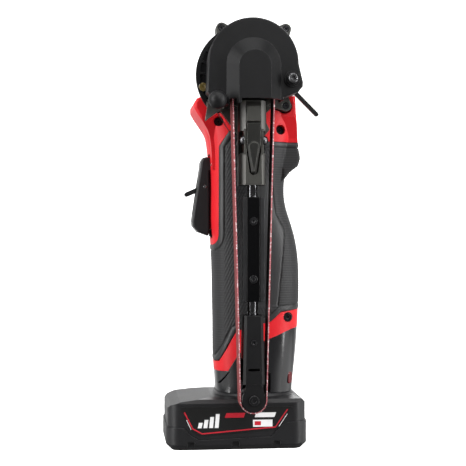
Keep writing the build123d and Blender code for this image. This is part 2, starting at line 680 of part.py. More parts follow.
FOREHEAD = ((-45.0, 194.9), (-47.2, 195.6), (-47.2, 204.0), (-45.0, 207.8))
FOREHEAD_HALF = 4.1
CHEEK_X, CHEEK_Y = (4.3, 5.7), (-46.2, -34.0)
LEVER_PIN_Y, LEVER_PIN_Z = -44.6, 184.3
LEVER_PIN_R, LEVER_PIN_HEAD_R, LEVER_PIN_HEAD_X = 1.5, 2.9, 5.7
LEVER_HALF = 3.9
BLOCK_HALF = 7.4
LEVER_Y = (-47.4, -44.0)
SPRING_PITCH, SPRING_LONG, SPRING_R, SPRING_WIRE_R, SPRING_BOTTOM = 2.6, 12.4, 2.6, 0.5, 180.9
LEVER_TIP = ((0.0, 166.4, 1.5), (0.0, 180.4, 3.8))
LEVER_TIP_ROOM = ((0.0, 166.6, 2.7), (0.0, 180.0, 4.4))


def cover_face(inset):
    """Cover outline in the front view: round top, stepped lower edge."""
    radius = COVER_R - inset
    arc = ThreePointArc((radius, COVER_ARC_Z), (0, COVER_ARC_Z + radius), (-radius, COVER_ARC_Z))
    shrink = 1.0 - inset / COVER_R
    lower = [(x * shrink, SPINDLE_Z + (z - SPINDLE_Z) * shrink) for x, z in COVER_BOTTOM]
    foot = Polyline((radius, COVER_ARC_Z), *lower, (-radius, COVER_ARC_Z))
    return make_face(arc + foot)


def cover_prism(inset, y_range):
    low, high = y_range
    return extrude(Plane.XZ.offset(-high) * cover_face(inset), high - low, dir=(0, -1, 0))


def dome_face(half_width, top_z, bottom_z, y):
    """Arch outline: straight sides and a half round top."""
    spring_z = top_z - half_width
    arc = ThreePointArc((half_width, spring_z), (0, top_z), (-half_width, spring_z))
    foot = Polyline(
        (half_width, spring_z), (half_width, bottom_z),
        (-half_width, bottom_z), (-half_width, spring_z),
    )
    return Plane.XZ.offset(-y) * make_face(arc + foot)


def dome_solid(inset):
    faces = []
    for (half_width, top_z), y in ((DOME_BASE, COVER_FRONT), (DOME_FLAT, DOME_FRONT)):
        faces.append(dome_face(half_width - inset, top_z - inset, COVER_EDGE_Z, y + inset))
    return loft(faces, ruled=True)


def belt_cover():
    """Thin shell: flat D shape, raised arch, open foot, bosses for the screw and the knob."""
    body = cover_prism(0.0, (COVER_FRONT, BRACKET_FRONT))
    body = fillet(body.faces().sort_by(Axis.Y)[0].edges(), COVER_ROUND)
    body += dome_solid(0.0)
    body -= cover_prism(COVER_WALL, (COVER_FRONT + COVER_WALL, BRACKET_FRONT))
    body -= dome_solid(COVER_WALL)
    foot_z = (COVER_EDGE_Z, COVER_MOUTH_Z)
    arch_half = DOME_BASE[0] - COVER_WALL
    body -= box_between((-arch_half, arch_half), (DOME_FRONT + COVER_WALL, BRACKET_FRONT), foot_z)
    body -= box_between((-8.0, 18.0), (DOME_FRONT, BRACKET_FRONT), foot_z)
    x, z = COVER_SCREW_AT
    for radius, proud in BOSS_STEPS:
        boss = rod_y(radius, (COVER_FRONT - proud, BRACKET_FRONT), x, z)
        body += boss & rod_y(COVER_R + 2.0, (-FAR, FAR))
    body -= rod_y(COVER_SCREW_R, (-FAR, FAR), x, z)
    return body - rod_y(KNOB_HOLE_R, (-FAR, FAR), *KNOB_AT)


def cover_screw():
    x, z = COVER_SCREW_AT
    seat = COVER_FRONT - BOSS_STEPS[-1][1]
    screw = screw_y(x, z, seat - 3.0, (2.9, 3.0), (COVER_SCREW_R, 20.0))
    rim = screw.edges().filter_by(GeomType.CIRCLE).sort_by(Axis.Y)[0]
    return chamfer(rim, 0.7)


def bracket_plate():
    """Flat plate round the neck, with lugs for the knob and for the cover screw."""
    y_range = (BRACKET_FRONT, BRACKET_BACK)
    plate = rod_y(PLATE_R, y_range)
    plate += hull_prism([(*KNOB_AT, KNOB_LUG_R), (-10.0, 222.0, 8.0)], y_range)
    plate += hull_prism([(*COVER_SCREW_AT, BOSS_STEPS[0][0] - 0.2), (10.0, 226.0, 8.0)], y_range)
    return plate + box_between((-ARM_HALF, ARM_HALF), y_range, (ARM_BOTTOM, ARM_TOP + 7.0))


def arm_bracket():
    body = bracket_plate()
    upper = box_between((-ARM_HALF, ARM_HALF), (-45.4, BRACKET_FRONT), (190.0, ARM_TOP))
    body += chamfer(upper.faces().sort_by(Axis.Y)[0].edges().filter_by(Axis.Z), 3.2)
    body += side_prism(FOREHEAD, (-FOREHEAD_HALF, FOREHEAD_HALF))
    body += box_between((-ARM_HALF, ARM_HALF), (-34.6, BRACKET_FRONT), (176.0, 190.5))
    for side in (-1, 1):
        cheek = sorted(side * edge for edge in CHEEK_X)
        body += box_between(cheek, CHEEK_Y, (176.0, 191.0))
    body += lower_block()
    body -= rod_z(ROD_R + RUN_GAP, (ARM_BOTTOM, BLOCK_TOP), 0.0, ARM_Y)
    body -= rod_z(SPRING_BORE_R, (BLOCK_TOP, LEVER_TOP - 0.4), 0.0, ARM_Y)
    body -= rod_x(LEVER_PIN_R, (-ARM_HALF, ARM_HALF), LEVER_PIN_Y, LEVER_PIN_Z)
    body -= box_between((-CHEEK_X[0], CHEEK_X[0]), (-48.0, -42.8), (188.0, LEVER_TOP + 0.5))
    body -= rod_y(NECK_R + RUN_GAP, (-FAR, FAR))
    body -= rod_y(COVER_SCREW_R, (-FAR, FAR), *COVER_SCREW_AT)
    return body - rod_y(KNOB_STEM_R + RUN_GAP, (-FAR, FAR), *KNOB_AT)


def lower_block():
    """Slide housing: bevelled flanks that narrow toward the front, notch for the lever tip."""
    faces = []
    for y, top_half, foot_half in ((-46.0, 4.6, 4.9), (-41.5, BLOCK_HALF, BLOCK_HALF)):
        corners = (
            (-top_half, BLOCK_TOP), (top_half, BLOCK_TOP),
            (foot_half, ARM_BOTTOM), (-foot_half, ARM_BOTTOM),
        )
        faces.append(Plane.XZ.offset(-y) * Polygon(*corners, align=None))
    block = loft(faces, ruled=True)
    block += box_between((-BLOCK_HALF, BLOCK_HALF), (-41.5, BRACKET_FRONT), (ARM_BOTTOM, BLOCK_TOP))
    return block - hull_prism(LEVER_TIP_ROOM, (-47.0, -43.2))


def tension_lever():
    """Rocking lever with a pointed lower end, hung on the cross pin."""
    blade = hull_prism(LEVER_TIP, LEVER_Y)
    blade = chamfer(blade.faces().sort_by(Axis.Y)[0].edges(), 1.2)
    blade += box_between((-LEVER_HALF, LEVER_HALF), (LEVER_Y[0] + 0.6, LEVER_Y[1]), (180.4, LEVER_TOP))
    blade += rod_x(LEVER_PIN_R + 0.5, (-LEVER_HALF, LEVER_HALF), LEVER_PIN_Y, LEVER_PIN_Z)
    return blade - rod_x(LEVER_PIN_R + RUN_GAP, (-ARM_HALF, ARM_HALF), LEVER_PIN_Y, LEVER_PIN_Z)


def lever_pin():
    """Cross pin with half round heads on both ends."""
    pin = rod_x(LEVER_PIN_R, (-LEVER_PIN_HEAD_X - 1.0, LEVER_PIN_HEAD_X + 1.0), LEVER_PIN_Y, LEVER_PIN_Z)
    for side in (-1, 1):
        ball = Pos(side * LEVER_PIN_HEAD_X, LEVER_PIN_Y, LEVER_PIN_Z) * Sphere(LEVER_PIN_HEAD_R)
        outside = sorted((side * LEVER_PIN_HEAD_X, side * FAR))
        pin += ball & box_between(outside, (-FAR, 0.0), (0.0, SPINDLE_Z))
    return pin


def tension_spring():
    """Coil between the top of the slide rod and the bracket."""
    path = Helix(SPRING_PITCH, SPRING_LONG, SPRING_R, center=(0, ARM_Y, SPRING_BOTTOM))
    start = Plane(origin=path @ 0, z_dir=path % 0)
    return sweep(start * Circle(SPRING_WIRE_R), path=path)


def angle_pointer():
    """Pointed index tab fixed behind the knob."""
    y_range = (COVER_FRONT - POINTER_THICK, COVER_FRONT)
    tab = front_prism(POINTER, y_range)
    tab += hull_prism([(*KNOB_AT, KNOB_LUG_R), (-24.0, 203.0, 2.0)], y_range)
    return tab - rod_y(KNOB_HOLE_R, (-FAR, FAR), *KNOB_AT)


def tracking_knob():
    x, z = KNOB_AT
    base = COVER_FRONT - POINTER_THICK - 0.1
    ball = Pos(x, base - KNOB_R - 0.2, z) * Sphere(KNOB_R)
    neck = rod_y(KNOB_NECK_R, (base - 2.4, base), x, z)
    return ball + neck + rod_y(KNOB_STEM_R, (base, BRACKET_BACK - 0.2), x, z)


# ---------------------------------------------------------------- slide, platen, roller
ROD_Z = (79.0, 180.2)
GROOVE_Z, GROOVE_DEEP = (83.2, 84.2), 0.5
FLAT_Z, FLAT_DEEP = (152.0, 157.0), 0.4
BLOCK_Z = (89.7, 151.1)
BLOCK_WIDE, BLOCK_Y = 4.2, (-45.0, -33.4)
PLATEN_X, PLATEN_Y, PLATEN_Z = (-6.2, 6.4), (-44.6, -32.4), (90.3, 151.0)
PLATEN_SCREW_Z = (137.0, 103.0)
PLATEN_SCREW_HEAD, PLATEN_SCREW_SHANK = (2.2, 1.2), (1.2, 1.6)
YOKE_TOP, YOKE_BOTTOM = 81.7, 41.5
YOKE_TOP_HALF, YOKE_FOOT_HALF = 5.6, 6.4
YOKE_Y = (-47.4, -31.9)
YOKE_EDGE = 1.5
YOKE_ROOM_Z = 56.0
SLOT_HALF, SLOT_Z = 3.6, (49.2, 50.9)
YOKE_PIN_R, YOKE_PIN_Z = 1.7, 65.9
ROLLER_Y = (-45.3, -33.5)
AXLE_R = 2.4
DISC_R = 6.8
STRIP_HALF = 4.4
STRIP_LAYERS = ((-45.8, -45.4), (-33.4, -33.0))
DISC_LAYERS = ((-47.2, -45.8), (-33.0, -31.6))
WEB_Z = (52.0, 55.0)


def slide_rod():
    rod = rod_z(ROD_R, ROD_Z, 0.0, ARM_Y)
    rod -= rod_z(ROD_R, GROOVE_Z, 0.0, ARM_Y) - rod_z(ROD_R - GROOVE_DEEP, GROOVE_Z, 0.0, ARM_Y)
    front = ARM_Y - ROD_R
    return rod - box_between((-ROD_R, ROD_R), (front, front + FLAT_DEEP), FLAT_Z)


def platen_block():
    block = box_between((-BLOCK_WIDE, BLOCK_WIDE), BLOCK_Y, BLOCK_Z)
    block = chamfer(block.edges().filter_by(Axis.Z), 0.5)
    block -= rod_z(ROD_R, BLOCK_Z, 0.0, ARM_Y)
    for z in PLATEN_SCREW_Z:
        block -= rod_y(PLATEN_SCREW_SHANK[0], (BLOCK_Y[0], ARM_Y), 0.0, z)
        block -= rod_y(PLATEN_SCREW_HEAD[0] + 0.2, (BLOCK_Y[0], BLOCK_Y[0] + 1.0), 0.0, z)
    return block


def platen():
    channel = box_between(PLATEN_X, PLATEN_Y, PLATEN_Z)
    return channel - box_between((-BLOCK_WIDE, BLOCK_WIDE), BLOCK_Y, BLOCK_Z)


def platen_screws():
    head_y = BLOCK_Y[0] - 0.2
    return [screw_y(0.0, z, head_y, PLATEN_SCREW_HEAD, PLATEN_SCREW_SHANK) for z in PLATEN_SCREW_Z]


def roller_yoke():
    outline = (
        (-YOKE_TOP_HALF, YOKE_TOP), (YOKE_TOP_HALF, YOKE_TOP),
        (YOKE_FOOT_HALF, YOKE_BOTTOM), (-YOKE_FOOT_HALF, YOKE_BOTTOM),
    )
    body = front_prism(outline, YOKE_Y)
    body = chamfer(body.faces().sort_by(Axis.Y)[0].edges().filter_by(Axis.X, reverse=True), YOKE_EDGE)
    body -= box_between((-8.0, 8.0), (STRIP_LAYERS[0][0], STRIP_LAYERS[1][1]), (YOKE_BOTTOM, YOKE_ROOM_Z))
    body -= rod_z(ROD_R, (ROD_Z[0], YOKE_TOP), 0.0, ARM_Y)
    body -= box_between((-SLOT_HALF, SLOT_HALF), (YOKE_Y[0], -45.0), SLOT_Z)
    return body - rod_y(YOKE_PIN_R, (-FAR, FAR), 0.0, YOKE_PIN_Z)


def yoke_pin():
    pin = rod_y(YOKE_PIN_R, (YOKE_Y[0] - 0.5, YOKE_Y[1]), 0.0, YOKE_PIN_Z)
    return pin - rod_y(0.8, (YOKE_Y[0] - 0.5, YOKE_Y[0] + 0.9), 0.0, YOKE_PIN_Z)


def roller_carrier():
    """Fork plates that hold the roller, joined by a web inside the yoke."""
    carrier = None
    for y_range in STRIP_LAYERS:
        strip = box_between((-STRIP_HALF, STRIP_HALF), y_range, (IDLER_Z, WEB_Z[1]))
        carrier = strip if carrier is None else carrier + strip
    for y_range in DISC_LAYERS:
        plate = hull_prism([(0.0, IDLER_Z, DISC_R), (0.0, 39.6, 4.8)], y_range)
        carrier += plate & box_between((-FAR, FAR), (-FAR, 0.0), (0.0, YOKE_BOTTOM))
    carrier += box_between((-STRIP_HALF, STRIP_HALF), (STRIP_LAYERS[0][1], STRIP_LAYERS[1][0]), WEB_Z)
    carrier -= box_between((-SLOT_HALF, SLOT_HALF), STRIP_LAYERS[0], SLOT_Z)
    return carrier - rod_y(AXLE_R, (-FAR, FAR), 0.0, IDLER_Z)


def roller_axle():
    return screw_y(0.0, IDLER_Z, DISC_LAYERS[0][0] - 1.2, (2.9, 1.2), (AXLE_R, 15.8))


def idler_roller():
    roller = rod_y(IDLER_R - RUN_GAP, ROLLER_Y, 0.0, IDLER_Z)
    roller = chamfer(roller.edges().filter_by(GeomType.CIRCLE), 0.5)
    return roller - rod_y(AXLE_R + RUN_GAP, (-FAR, FAR), 0.0, IDLER_Z)


def belt_loop(drive_r, idler_r):
    return hull_prism([(0.0, SPINDLE_Z, drive_r), (0.0, IDLER_Z, idler_r)], (BELT_FRONT, BELT_BACK))


def abrasive_belt():
    return belt_loop(DRIVE_R + BELT_THICK, IDLER_R + BELT_THICK) - belt_loop(DRIVE_R, IDLER_R)


# ---------------------------------------------------------------- switch paddle
PADDLE = (
    (-19.2, 170.2), (-19.0, 173.8), (-21.2, 176.0), (-24.6, 177.0), (-26.8, 176.4), (-28.0, 174.2),
    (-28.3, 171.0), (-30.4, 158.0), (-33.4, 137.6), (-33.0, 134.4), (-30.0, 130.8), (-23.6, 128.4),
    (-22.6, 131.0),
    (-22.6, 168.0),
)
PADDLE_HALF = 8.0
PADDLE_EDGE = 0.9
PADDLE_SLOT = ((-40.0, 163.0), (-23.0, 163.0), (-23.0, 144.0), (-40.0, 140.0))
PADDLE_SLOT_HALF = 3.4
LOCK_PIN_AT = (-25.6, 158.7)
LOCK_PIN_R = 1.0
LOCK_HALF = 3.1
LOCK_TIP = (-36.4, 154.0, 1.4)


def paddle():
    body = front_prism(PADDLE, (-PADDLE_HALF, PADDLE_HALF))
    body = chamfer(body.faces().sort_by(Axis.Y)[0].edges(), PADDLE_EDGE)
    body = chamfer(body.faces().sort_by(Axis.Y)[-1].edges(), PADDLE_EDGE)
    body -= front_prism(PADDLE_SLOT, (-PADDLE_SLOT_HALF, PADDLE_SLOT_HALF))
    body -= rod_y(PADDLE_PIN_R + RUN_GAP, (-FAR, FAR), *PADDLE_PIVOT)
    return body - rod_y(LOCK_PIN_R, (-FAR, FAR), *LOCK_PIN_AT)


def paddle_pin():
    return rod_y(PADDLE_PIN_R, PADDLE_PIN_Y, *PADDLE_PIVOT)


def lock_lever():
    x, z = LOCK_PIN_AT
    bar = hull_prism([(x, z, 1.5), LOCK_TIP], (-LOCK_HALF, LOCK_HALF))
    bar += rod_y(2.2, (-LOCK_HALF, LOCK_HALF), x, z)
    return bar - rod_y(LOCK_PIN_R + RUN_GAP, (-FAR, FAR), x, z)


def lock_pin():
    return rod_y(LOCK_PIN_R, (-PADDLE_HALF - 0.3, PADDLE_HALF + 0.3), *LOCK_PIN_AT)


# ---------------------------------------------------------------- electrical parts
SWITCH_X, SWITCH_Z, SWITCH_HALF = (-9.0, 7.0), (124.0, 137.0), 8.0
SWITCH_BORE_END = 1.0
PLUNGER_X, PLUNGER_Z, PLUNGER_HALF = (-22.4, -4.5), (127.5, 132.5), 2.5
BOARD_X, BOARD_Z, BOARD_HALF = (11.0, 12.6), (106.0, 136.0), 12.0
CHIP_HEIGHT, CHIP_Z, CHIP_PITCH = 1.8, (114.0, 120.0), 7.0
CAP_R, CAP_LONG, CAP_Z, CAP_PITCH = 2.6, 5.4, 130.0, 7.5
TERMINAL_X, TERMINAL_Z, TERMINAL_HALF = (TOWER_X - 9.0, TOWER_X + 5.0), (105.0, 110.0), 7.0
BLADE_X, BLADE_Z, BLADE_HALF = (TOWER_X - 4.0, TOWER_X + 2.0), (98.2, 105.0), 0.4
BLADE_ROWS = (-4.5, 0.0, 4.5)


def switch_module():
    body = box_between(SWITCH_X, (-SWITCH_HALF, SWITCH_HALF), SWITCH_Z)
    body = chamfer(body.edges().filter_by(Axis.Z), 1.0)
    bore_half = PLUNGER_HALF + 0.1
    bore_z = (PLUNGER_Z[0] - 0.1, PLUNGER_Z[1] + 0.1)
    return body - box_between((SWITCH_X[0], SWITCH_BORE_END), (-bore_half, bore_half), bore_z)


def switch_plunger():
    plunger = box_between(PLUNGER_X, (-PLUNGER_HALF, PLUNGER_HALF), PLUNGER_Z)
    return chamfer(plunger.faces().sort_by(Axis.X)[0].edges(), 0.8)


def control_board():
    """Circuit board with a row of power chips and a row of capacitors."""
    board = box_between(BOARD_X, (-BOARD_HALF, BOARD_HALF), BOARD_Z)
    top = BOARD_X[1]
    for row in (-1, 0, 1):
        chip_y = CHIP_PITCH * row + 1.0
        board += box_between((top, top + CHIP_HEIGHT), (chip_y - 2.0, chip_y + 2.0), CHIP_Z)
        board += rod_x(CAP_R, (top, top + CAP_LONG), CAP_PITCH * row - 0.5, CAP_Z)
    return board


def terminal_block():
    """Plastic block with its three metal blades as separate solids."""
    solids = [box_between(TERMINAL_X, (-TERMINAL_HALF, TERMINAL_HALF), TERMINAL_Z)]
    for row in BLADE_ROWS:
        solids.append(box_between(BLADE_X, (row - BLADE_HALF, row + BLADE_HALF), BLADE_Z))
    return solids


# ---------------------------------------------------------------- battery
FOOT_X = (-50.2, 35.2)
FOOT_Y = 29.5
FOOT_CORNER = 9.0
FOOT_TOP = 31.4
LOWER_PROUD = 0.8
FOOT_WALL = 2.1
SEAM = (
    (-FAR, 14.0), (-39.7, 13.8), (-36.4, 9.6), (-30.9, 6.4), (13.0, 8.0), (20.4, 16.4), (FAR, 17.6),
    (FAR, -5.0), (-FAR, -5.0),
)
CROWN_FRONT = (
    (-FAR, 20.0), (-50.2, 24.4), (-47.6, 27.0), (-42.0, 29.0), (-22.0, FOOT_TOP), (28.0, FOOT_TOP),
    (32.0, 30.0), (35.2, 26.6), (FAR, 20.0), (FAR, 0.0), (-FAR, 0.0),
)
CROWN_SIDE = (
    (-29.5, 25.6), (-28.7, 28.2), (-26.6, 30.2), (-22.0, 31.2), (-17.0, FOOT_TOP),
    (17.0, FOOT_TOP), (22.0, 31.2), (26.6, 30.2), (28.7, 28.2), (29.5, 25.6),
    (30.0, 0.0), (-30.0, 0.0),
)
FOOT_EDGE = 3.4
NOTCHES = (-35.5, -8.8, 16.0)
NOTCH_HALF, NOTCH_DEEP, NOTCH_TOP = 2.2, 1.6, 5.4
CELL_GAP = 0.05
LYING_CELL_Z = 2.0 + CELL_R
STANDING_CELL_Z = (32.5, 32.5 + CELL_LONG)
STANDING_CELL_Y = -2.6
END_GROOVE_Z = (22.0, 22.6)
LIP_Z, LIP_DEPTH, LIP_GROW = 30.4, 23.6, 1.6
NECK_DEPTH, NECK_SHRINK = 21.6, 0.4
ROOM_TOP = 26.0
TOWER_EDGE_Z = 97.0
TOWER_CAP_HALF, TOWER_CAP_DEPTH = 18.0, 17.0
TOWER_BORE_Z, TOWER_WALL, TOWER_BORE_POWER = (FOOT_TOP - 4.0, 98.0), 1.0, 3.2
CONTACT_SLOT_X, CONTACT_SLOT_HALF = (TOWER_X - 4.6, TOWER_X + 2.6), 0.9
CLIP_X, CLIP_Z, CLIP_GAP, CLIP_THICK = (TOWER_X - 3.4, TOWER_X + 1.4), (98.2, 100.6), 0.5, 0.3
LATCH_ROOM_X, LATCH_ROOM_Y, LATCH_ROOM_Z = (TOWER_X - 6.2, TOWER_X + 6.2), (17.4, 26.0), (34.4, 43.6)
BUTTON_X, BUTTON_Y, BUTTON_Z = (TOWER_X - 6.0, TOWER_X + 6.0), (19.2, 22.6), (34.6, 43.4)
BUTTON_RIB_X, BUTTON_RIB_Y, BUTTON_RIBS = (TOWER_X - 4.5, TOWER_X + 4.5), (22.4, 23.0), (37.0, 39.0, 41.0)
LABEL_THICK = 0.3
SOCKET_X = (HANDLE[0][1], HANDLE[0][2])
LABEL = ((-41.5, 26.3), (25.5, 25.8), (16.3, 12.1), (-29.5, 8.8), (-36.1, 12.5))


def foot_slab(inset, z_range):
    low, high = z_range
    left, right = FOOT_X
    wide = right - left - 2 * inset
    deep = 2 * (FOOT_Y - inset)
    outline = RectangleRounded(wide, deep, FOOT_CORNER - inset)
    return extrude(Plane.XY.offset(low) * Pos((left + right) / 2, 0) * outline, high - low)


def lying_cells():
    middle = sum(FOOT_X) / 2
    pitch = 2 * CELL_R + CELL_GAP
    span = (middle - CELL_LONG / 2, middle + CELL_LONG / 2)
    return [rod_x(CELL_R, span, row * pitch, LYING_CELL_Z) for row in (-1, 0, 1)]


def standing_cells():
    """Three cells stood together in the tower, touching in a triangle."""
    reach = CELL_R * 2 / math.sqrt(3) + CELL_GAP
    cells = []
    for turn in (210, 330, 90):
        x = TOWER_X + reach * math.cos(math.radians(turn))
        y = STANDING_CELL_Y + reach * math.sin(math.radians(turn))
        cells.append(rod_z(CELL_R, STANDING_CELL_Z, x, y))
    return cells


def battery_lower():
    """Proud lower tray: its upper edge follows the stepped seam."""
    body = foot_slab(0.0, (0.0, 20.0)) & front_prism(SEAM, (-FAR, FAR))
    body = chamfer(body.faces().sort_by(Axis.Z)[0].edges(), FOOT_EDGE)
    for x in NOTCHES:
        for side in (-1, 1):
            y_range = sorted((side * (FOOT_Y - NOTCH_DEEP), side * FOOT_Y))
            body -= box_between((x - NOTCH_HALF, x + NOTCH_HALF), y_range, (0.0, NOTCH_TOP))
    return body - foot_slab(FOOT_WALL, (1.9, 20.0))


def crown(solid):
    """Lower the top of the foot toward its ends and its long sides."""
    return solid & front_prism(CROWN_FRONT, (-FAR, FAR)) & side_prism(CROWN_SIDE, (-FAR, FAR))


def crown_block():
    """Upper half of the foot, with a raised lip that meets the collar."""
    body = crown(foot_slab(LOWER_PROUD, (3.0, FOOT_TOP))) - front_prism(SEAM, (-FAR, FAR))
    for end in FOOT_X:
        body -= box_between((end - 1.4, end + 1.4), (-FAR, FAR), END_GROOVE_Z)
    left, right = SOCKET_X
    lip = oval_section(left - LIP_GROW, right + LIP_GROW, LIP_DEPTH, LIP_Z, 0.0)
    neck = oval_section(left + NECK_SHRINK, right - NECK_SHRINK, NECK_DEPTH, SOCKET_BOTTOM - 0.1, 0.0)
    body += loft([lip, neck], ruled=True)
    body -= foot_slab(FOOT_WALL, (2.0, ROOM_TOP))
    return body - Pos(0, 0, -2.0) * crown(foot_slab(FOOT_WALL + 0.5, (ROOM_TOP - 1.0, FOOT_TOP)))


def battery_upper():
    """Crown block with the hollow tower that plugs into the handle."""
    outline = (TOWER_X - TOWER_HALF_X, TOWER_X + TOWER_HALF_X, TOWER_HALF_Y)
    foot, edge = [oval_section(*outline, z, 0.0, TOWER_POWER) for z in (FOOT_TOP - 1.0, TOWER_EDGE_Z)]
    cap_x = (TOWER_X - TOWER_CAP_HALF, TOWER_X + TOWER_CAP_HALF)
    cap = oval_section(*cap_x, TOWER_CAP_DEPTH, TOWER_TOP, 0.0, TOWER_POWER)
    body = crown_block() + loft([foot, edge], ruled=True) + loft([edge, cap], ruled=True)
    bore = [oval_section(*outline, z, TOWER_WALL, TOWER_BORE_POWER) for z in TOWER_BORE_Z]
    body -= loft(bore, ruled=True)
    for row in BLADE_ROWS:
        slot_y = (row - CONTACT_SLOT_HALF, row + CONTACT_SLOT_HALF)
        body -= box_between(CONTACT_SLOT_X, slot_y, (TOWER_EDGE_Z - 1.0, TOWER_TOP))
    for side in (-1, 1):
        body -= box_between(LATCH_ROOM_X, sorted(side * y for y in LATCH_ROOM_Y), LATCH_ROOM_Z)
    return body


def battery_label(side):
    """Thin printed panel on the foot, red border frame with a black field."""
    surface = FOOT_Y - LOWER_PROUD
    return front_prism(LABEL, sorted((side * surface, side * (surface + LABEL_THICK))))


def battery_contacts():
    clips = []
    for row in BLADE_ROWS:
        for side in (-1, 1):
            y_range = sorted((row + side * CLIP_GAP, row + side * (CLIP_GAP + CLIP_THICK)))
            clips.append(box_between(CLIP_X, y_range, CLIP_Z))
    return clips


def latch_button(side):
    """Press pad in the notch of the collar, carried by the battery."""
    body = box_between(BUTTON_X, sorted(side * y for y in BUTTON_Y), BUTTON_Z)
    body = chamfer(body.faces().sort_by(Axis.Y)[0 if side < 0 else -1].edges(), 0.6)
    rib_y = sorted(side * y for y in BUTTON_RIB_Y)
    for z in BUTTON_RIBS:
        body += box_between(BUTTON_RIB_X, rib_y, (z - 0.4, z + 0.4))
    return body


# ---------------------------------------------------------------- write every node
def all_nodes():
    nodes = shell_parts()
    nodes["shell_screws"] = shell_screws()
    nodes["gear_case"] = gear_case()
    nodes["bearing_plate"] = bearing_plate()
    nodes["ear_screws"] = ear_screws()
    spindle_outers, nodes["spindle_bearing_inners"] = spindle_bearings()
    motor_outers, nodes["motor_bearing_inners"] = motor_bearings()
    nodes["bearing_outers"] = spindle_outers + motor_outers
    nodes["battery_label"] = [battery_label(-1), battery_label(1)]
    nodes["battery_cells"] = lying_cells() + standing_cells()
    nodes["latch_button_front"] = latch_button(-1)
    nodes["latch_button_rear"] = latch_button(1)
    makers = (
        stator_core, stator_coils, rotor_core, motor_shaft, cooling_fan, motor_mount, pinion_gear,
        bevel_gear, output_spindle, drive_pulley, pulley_screw, neck_circlip, spark_guard, guard_bolt,
        guard_lever, belt_cover, cover_screw, arm_bracket, tension_lever, lever_pin,
        tension_spring, angle_pointer, tracking_knob, slide_rod, platen_block, platen, platen_screws,
        roller_yoke, yoke_pin, roller_carrier, roller_axle, idler_roller, abrasive_belt,
        paddle, paddle_pin, lock_lever, lock_pin, switch_module, switch_plunger, control_board,
        terminal_block, battery_lower, battery_upper, battery_contacts,
    )
    for maker in makers:
        nodes[maker.__name__] = maker()
    return nodes


def as_shape(made):
    """One compound of the separate solids in a node."""
    pieces = made if isinstance(made, list) else [made]
    solids = [solid for piece in pieces for solid in piece.solids()]
    return solids[0] if len(solids) == 1 else Compound(children=solids)


os.makedirs("parts", exist_ok=True)
for node_name, made in all_nodes().items():
    export_step(as_shape(made), os.path.join("parts", node_name + ".step"))
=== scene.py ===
import json
import math

import bmesh
import bpy
import numpy as np
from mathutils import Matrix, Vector


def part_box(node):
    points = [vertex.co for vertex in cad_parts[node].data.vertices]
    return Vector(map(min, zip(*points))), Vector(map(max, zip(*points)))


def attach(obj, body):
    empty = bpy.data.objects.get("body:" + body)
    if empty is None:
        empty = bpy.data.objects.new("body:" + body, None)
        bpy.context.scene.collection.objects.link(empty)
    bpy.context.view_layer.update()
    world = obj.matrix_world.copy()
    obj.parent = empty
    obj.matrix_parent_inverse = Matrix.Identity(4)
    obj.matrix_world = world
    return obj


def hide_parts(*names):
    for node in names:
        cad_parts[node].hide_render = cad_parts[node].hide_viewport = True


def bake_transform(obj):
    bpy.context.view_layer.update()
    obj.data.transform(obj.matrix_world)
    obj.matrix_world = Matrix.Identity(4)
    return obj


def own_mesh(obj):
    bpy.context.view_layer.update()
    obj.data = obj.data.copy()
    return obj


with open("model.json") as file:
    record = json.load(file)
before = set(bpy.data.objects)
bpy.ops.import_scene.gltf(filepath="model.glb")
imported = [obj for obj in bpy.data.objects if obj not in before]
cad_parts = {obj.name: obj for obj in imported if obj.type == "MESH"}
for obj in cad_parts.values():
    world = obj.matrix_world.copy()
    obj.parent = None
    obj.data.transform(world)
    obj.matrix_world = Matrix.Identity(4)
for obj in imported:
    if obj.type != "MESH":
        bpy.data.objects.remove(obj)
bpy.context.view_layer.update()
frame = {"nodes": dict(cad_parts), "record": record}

MM = 0.001
NODES = frame["nodes"]


# ------------------------------------------------------------------ material toolkit
# the colour sockets of Blender's Mix node
MIX_FIRST, MIX_SECOND, MIX_RESULT = 6, 7, 2
# dot product of flat and rounded normal: at an edge, and on open ground
EDGE_DOT, FLAT_DOT = 0.86, 0.995


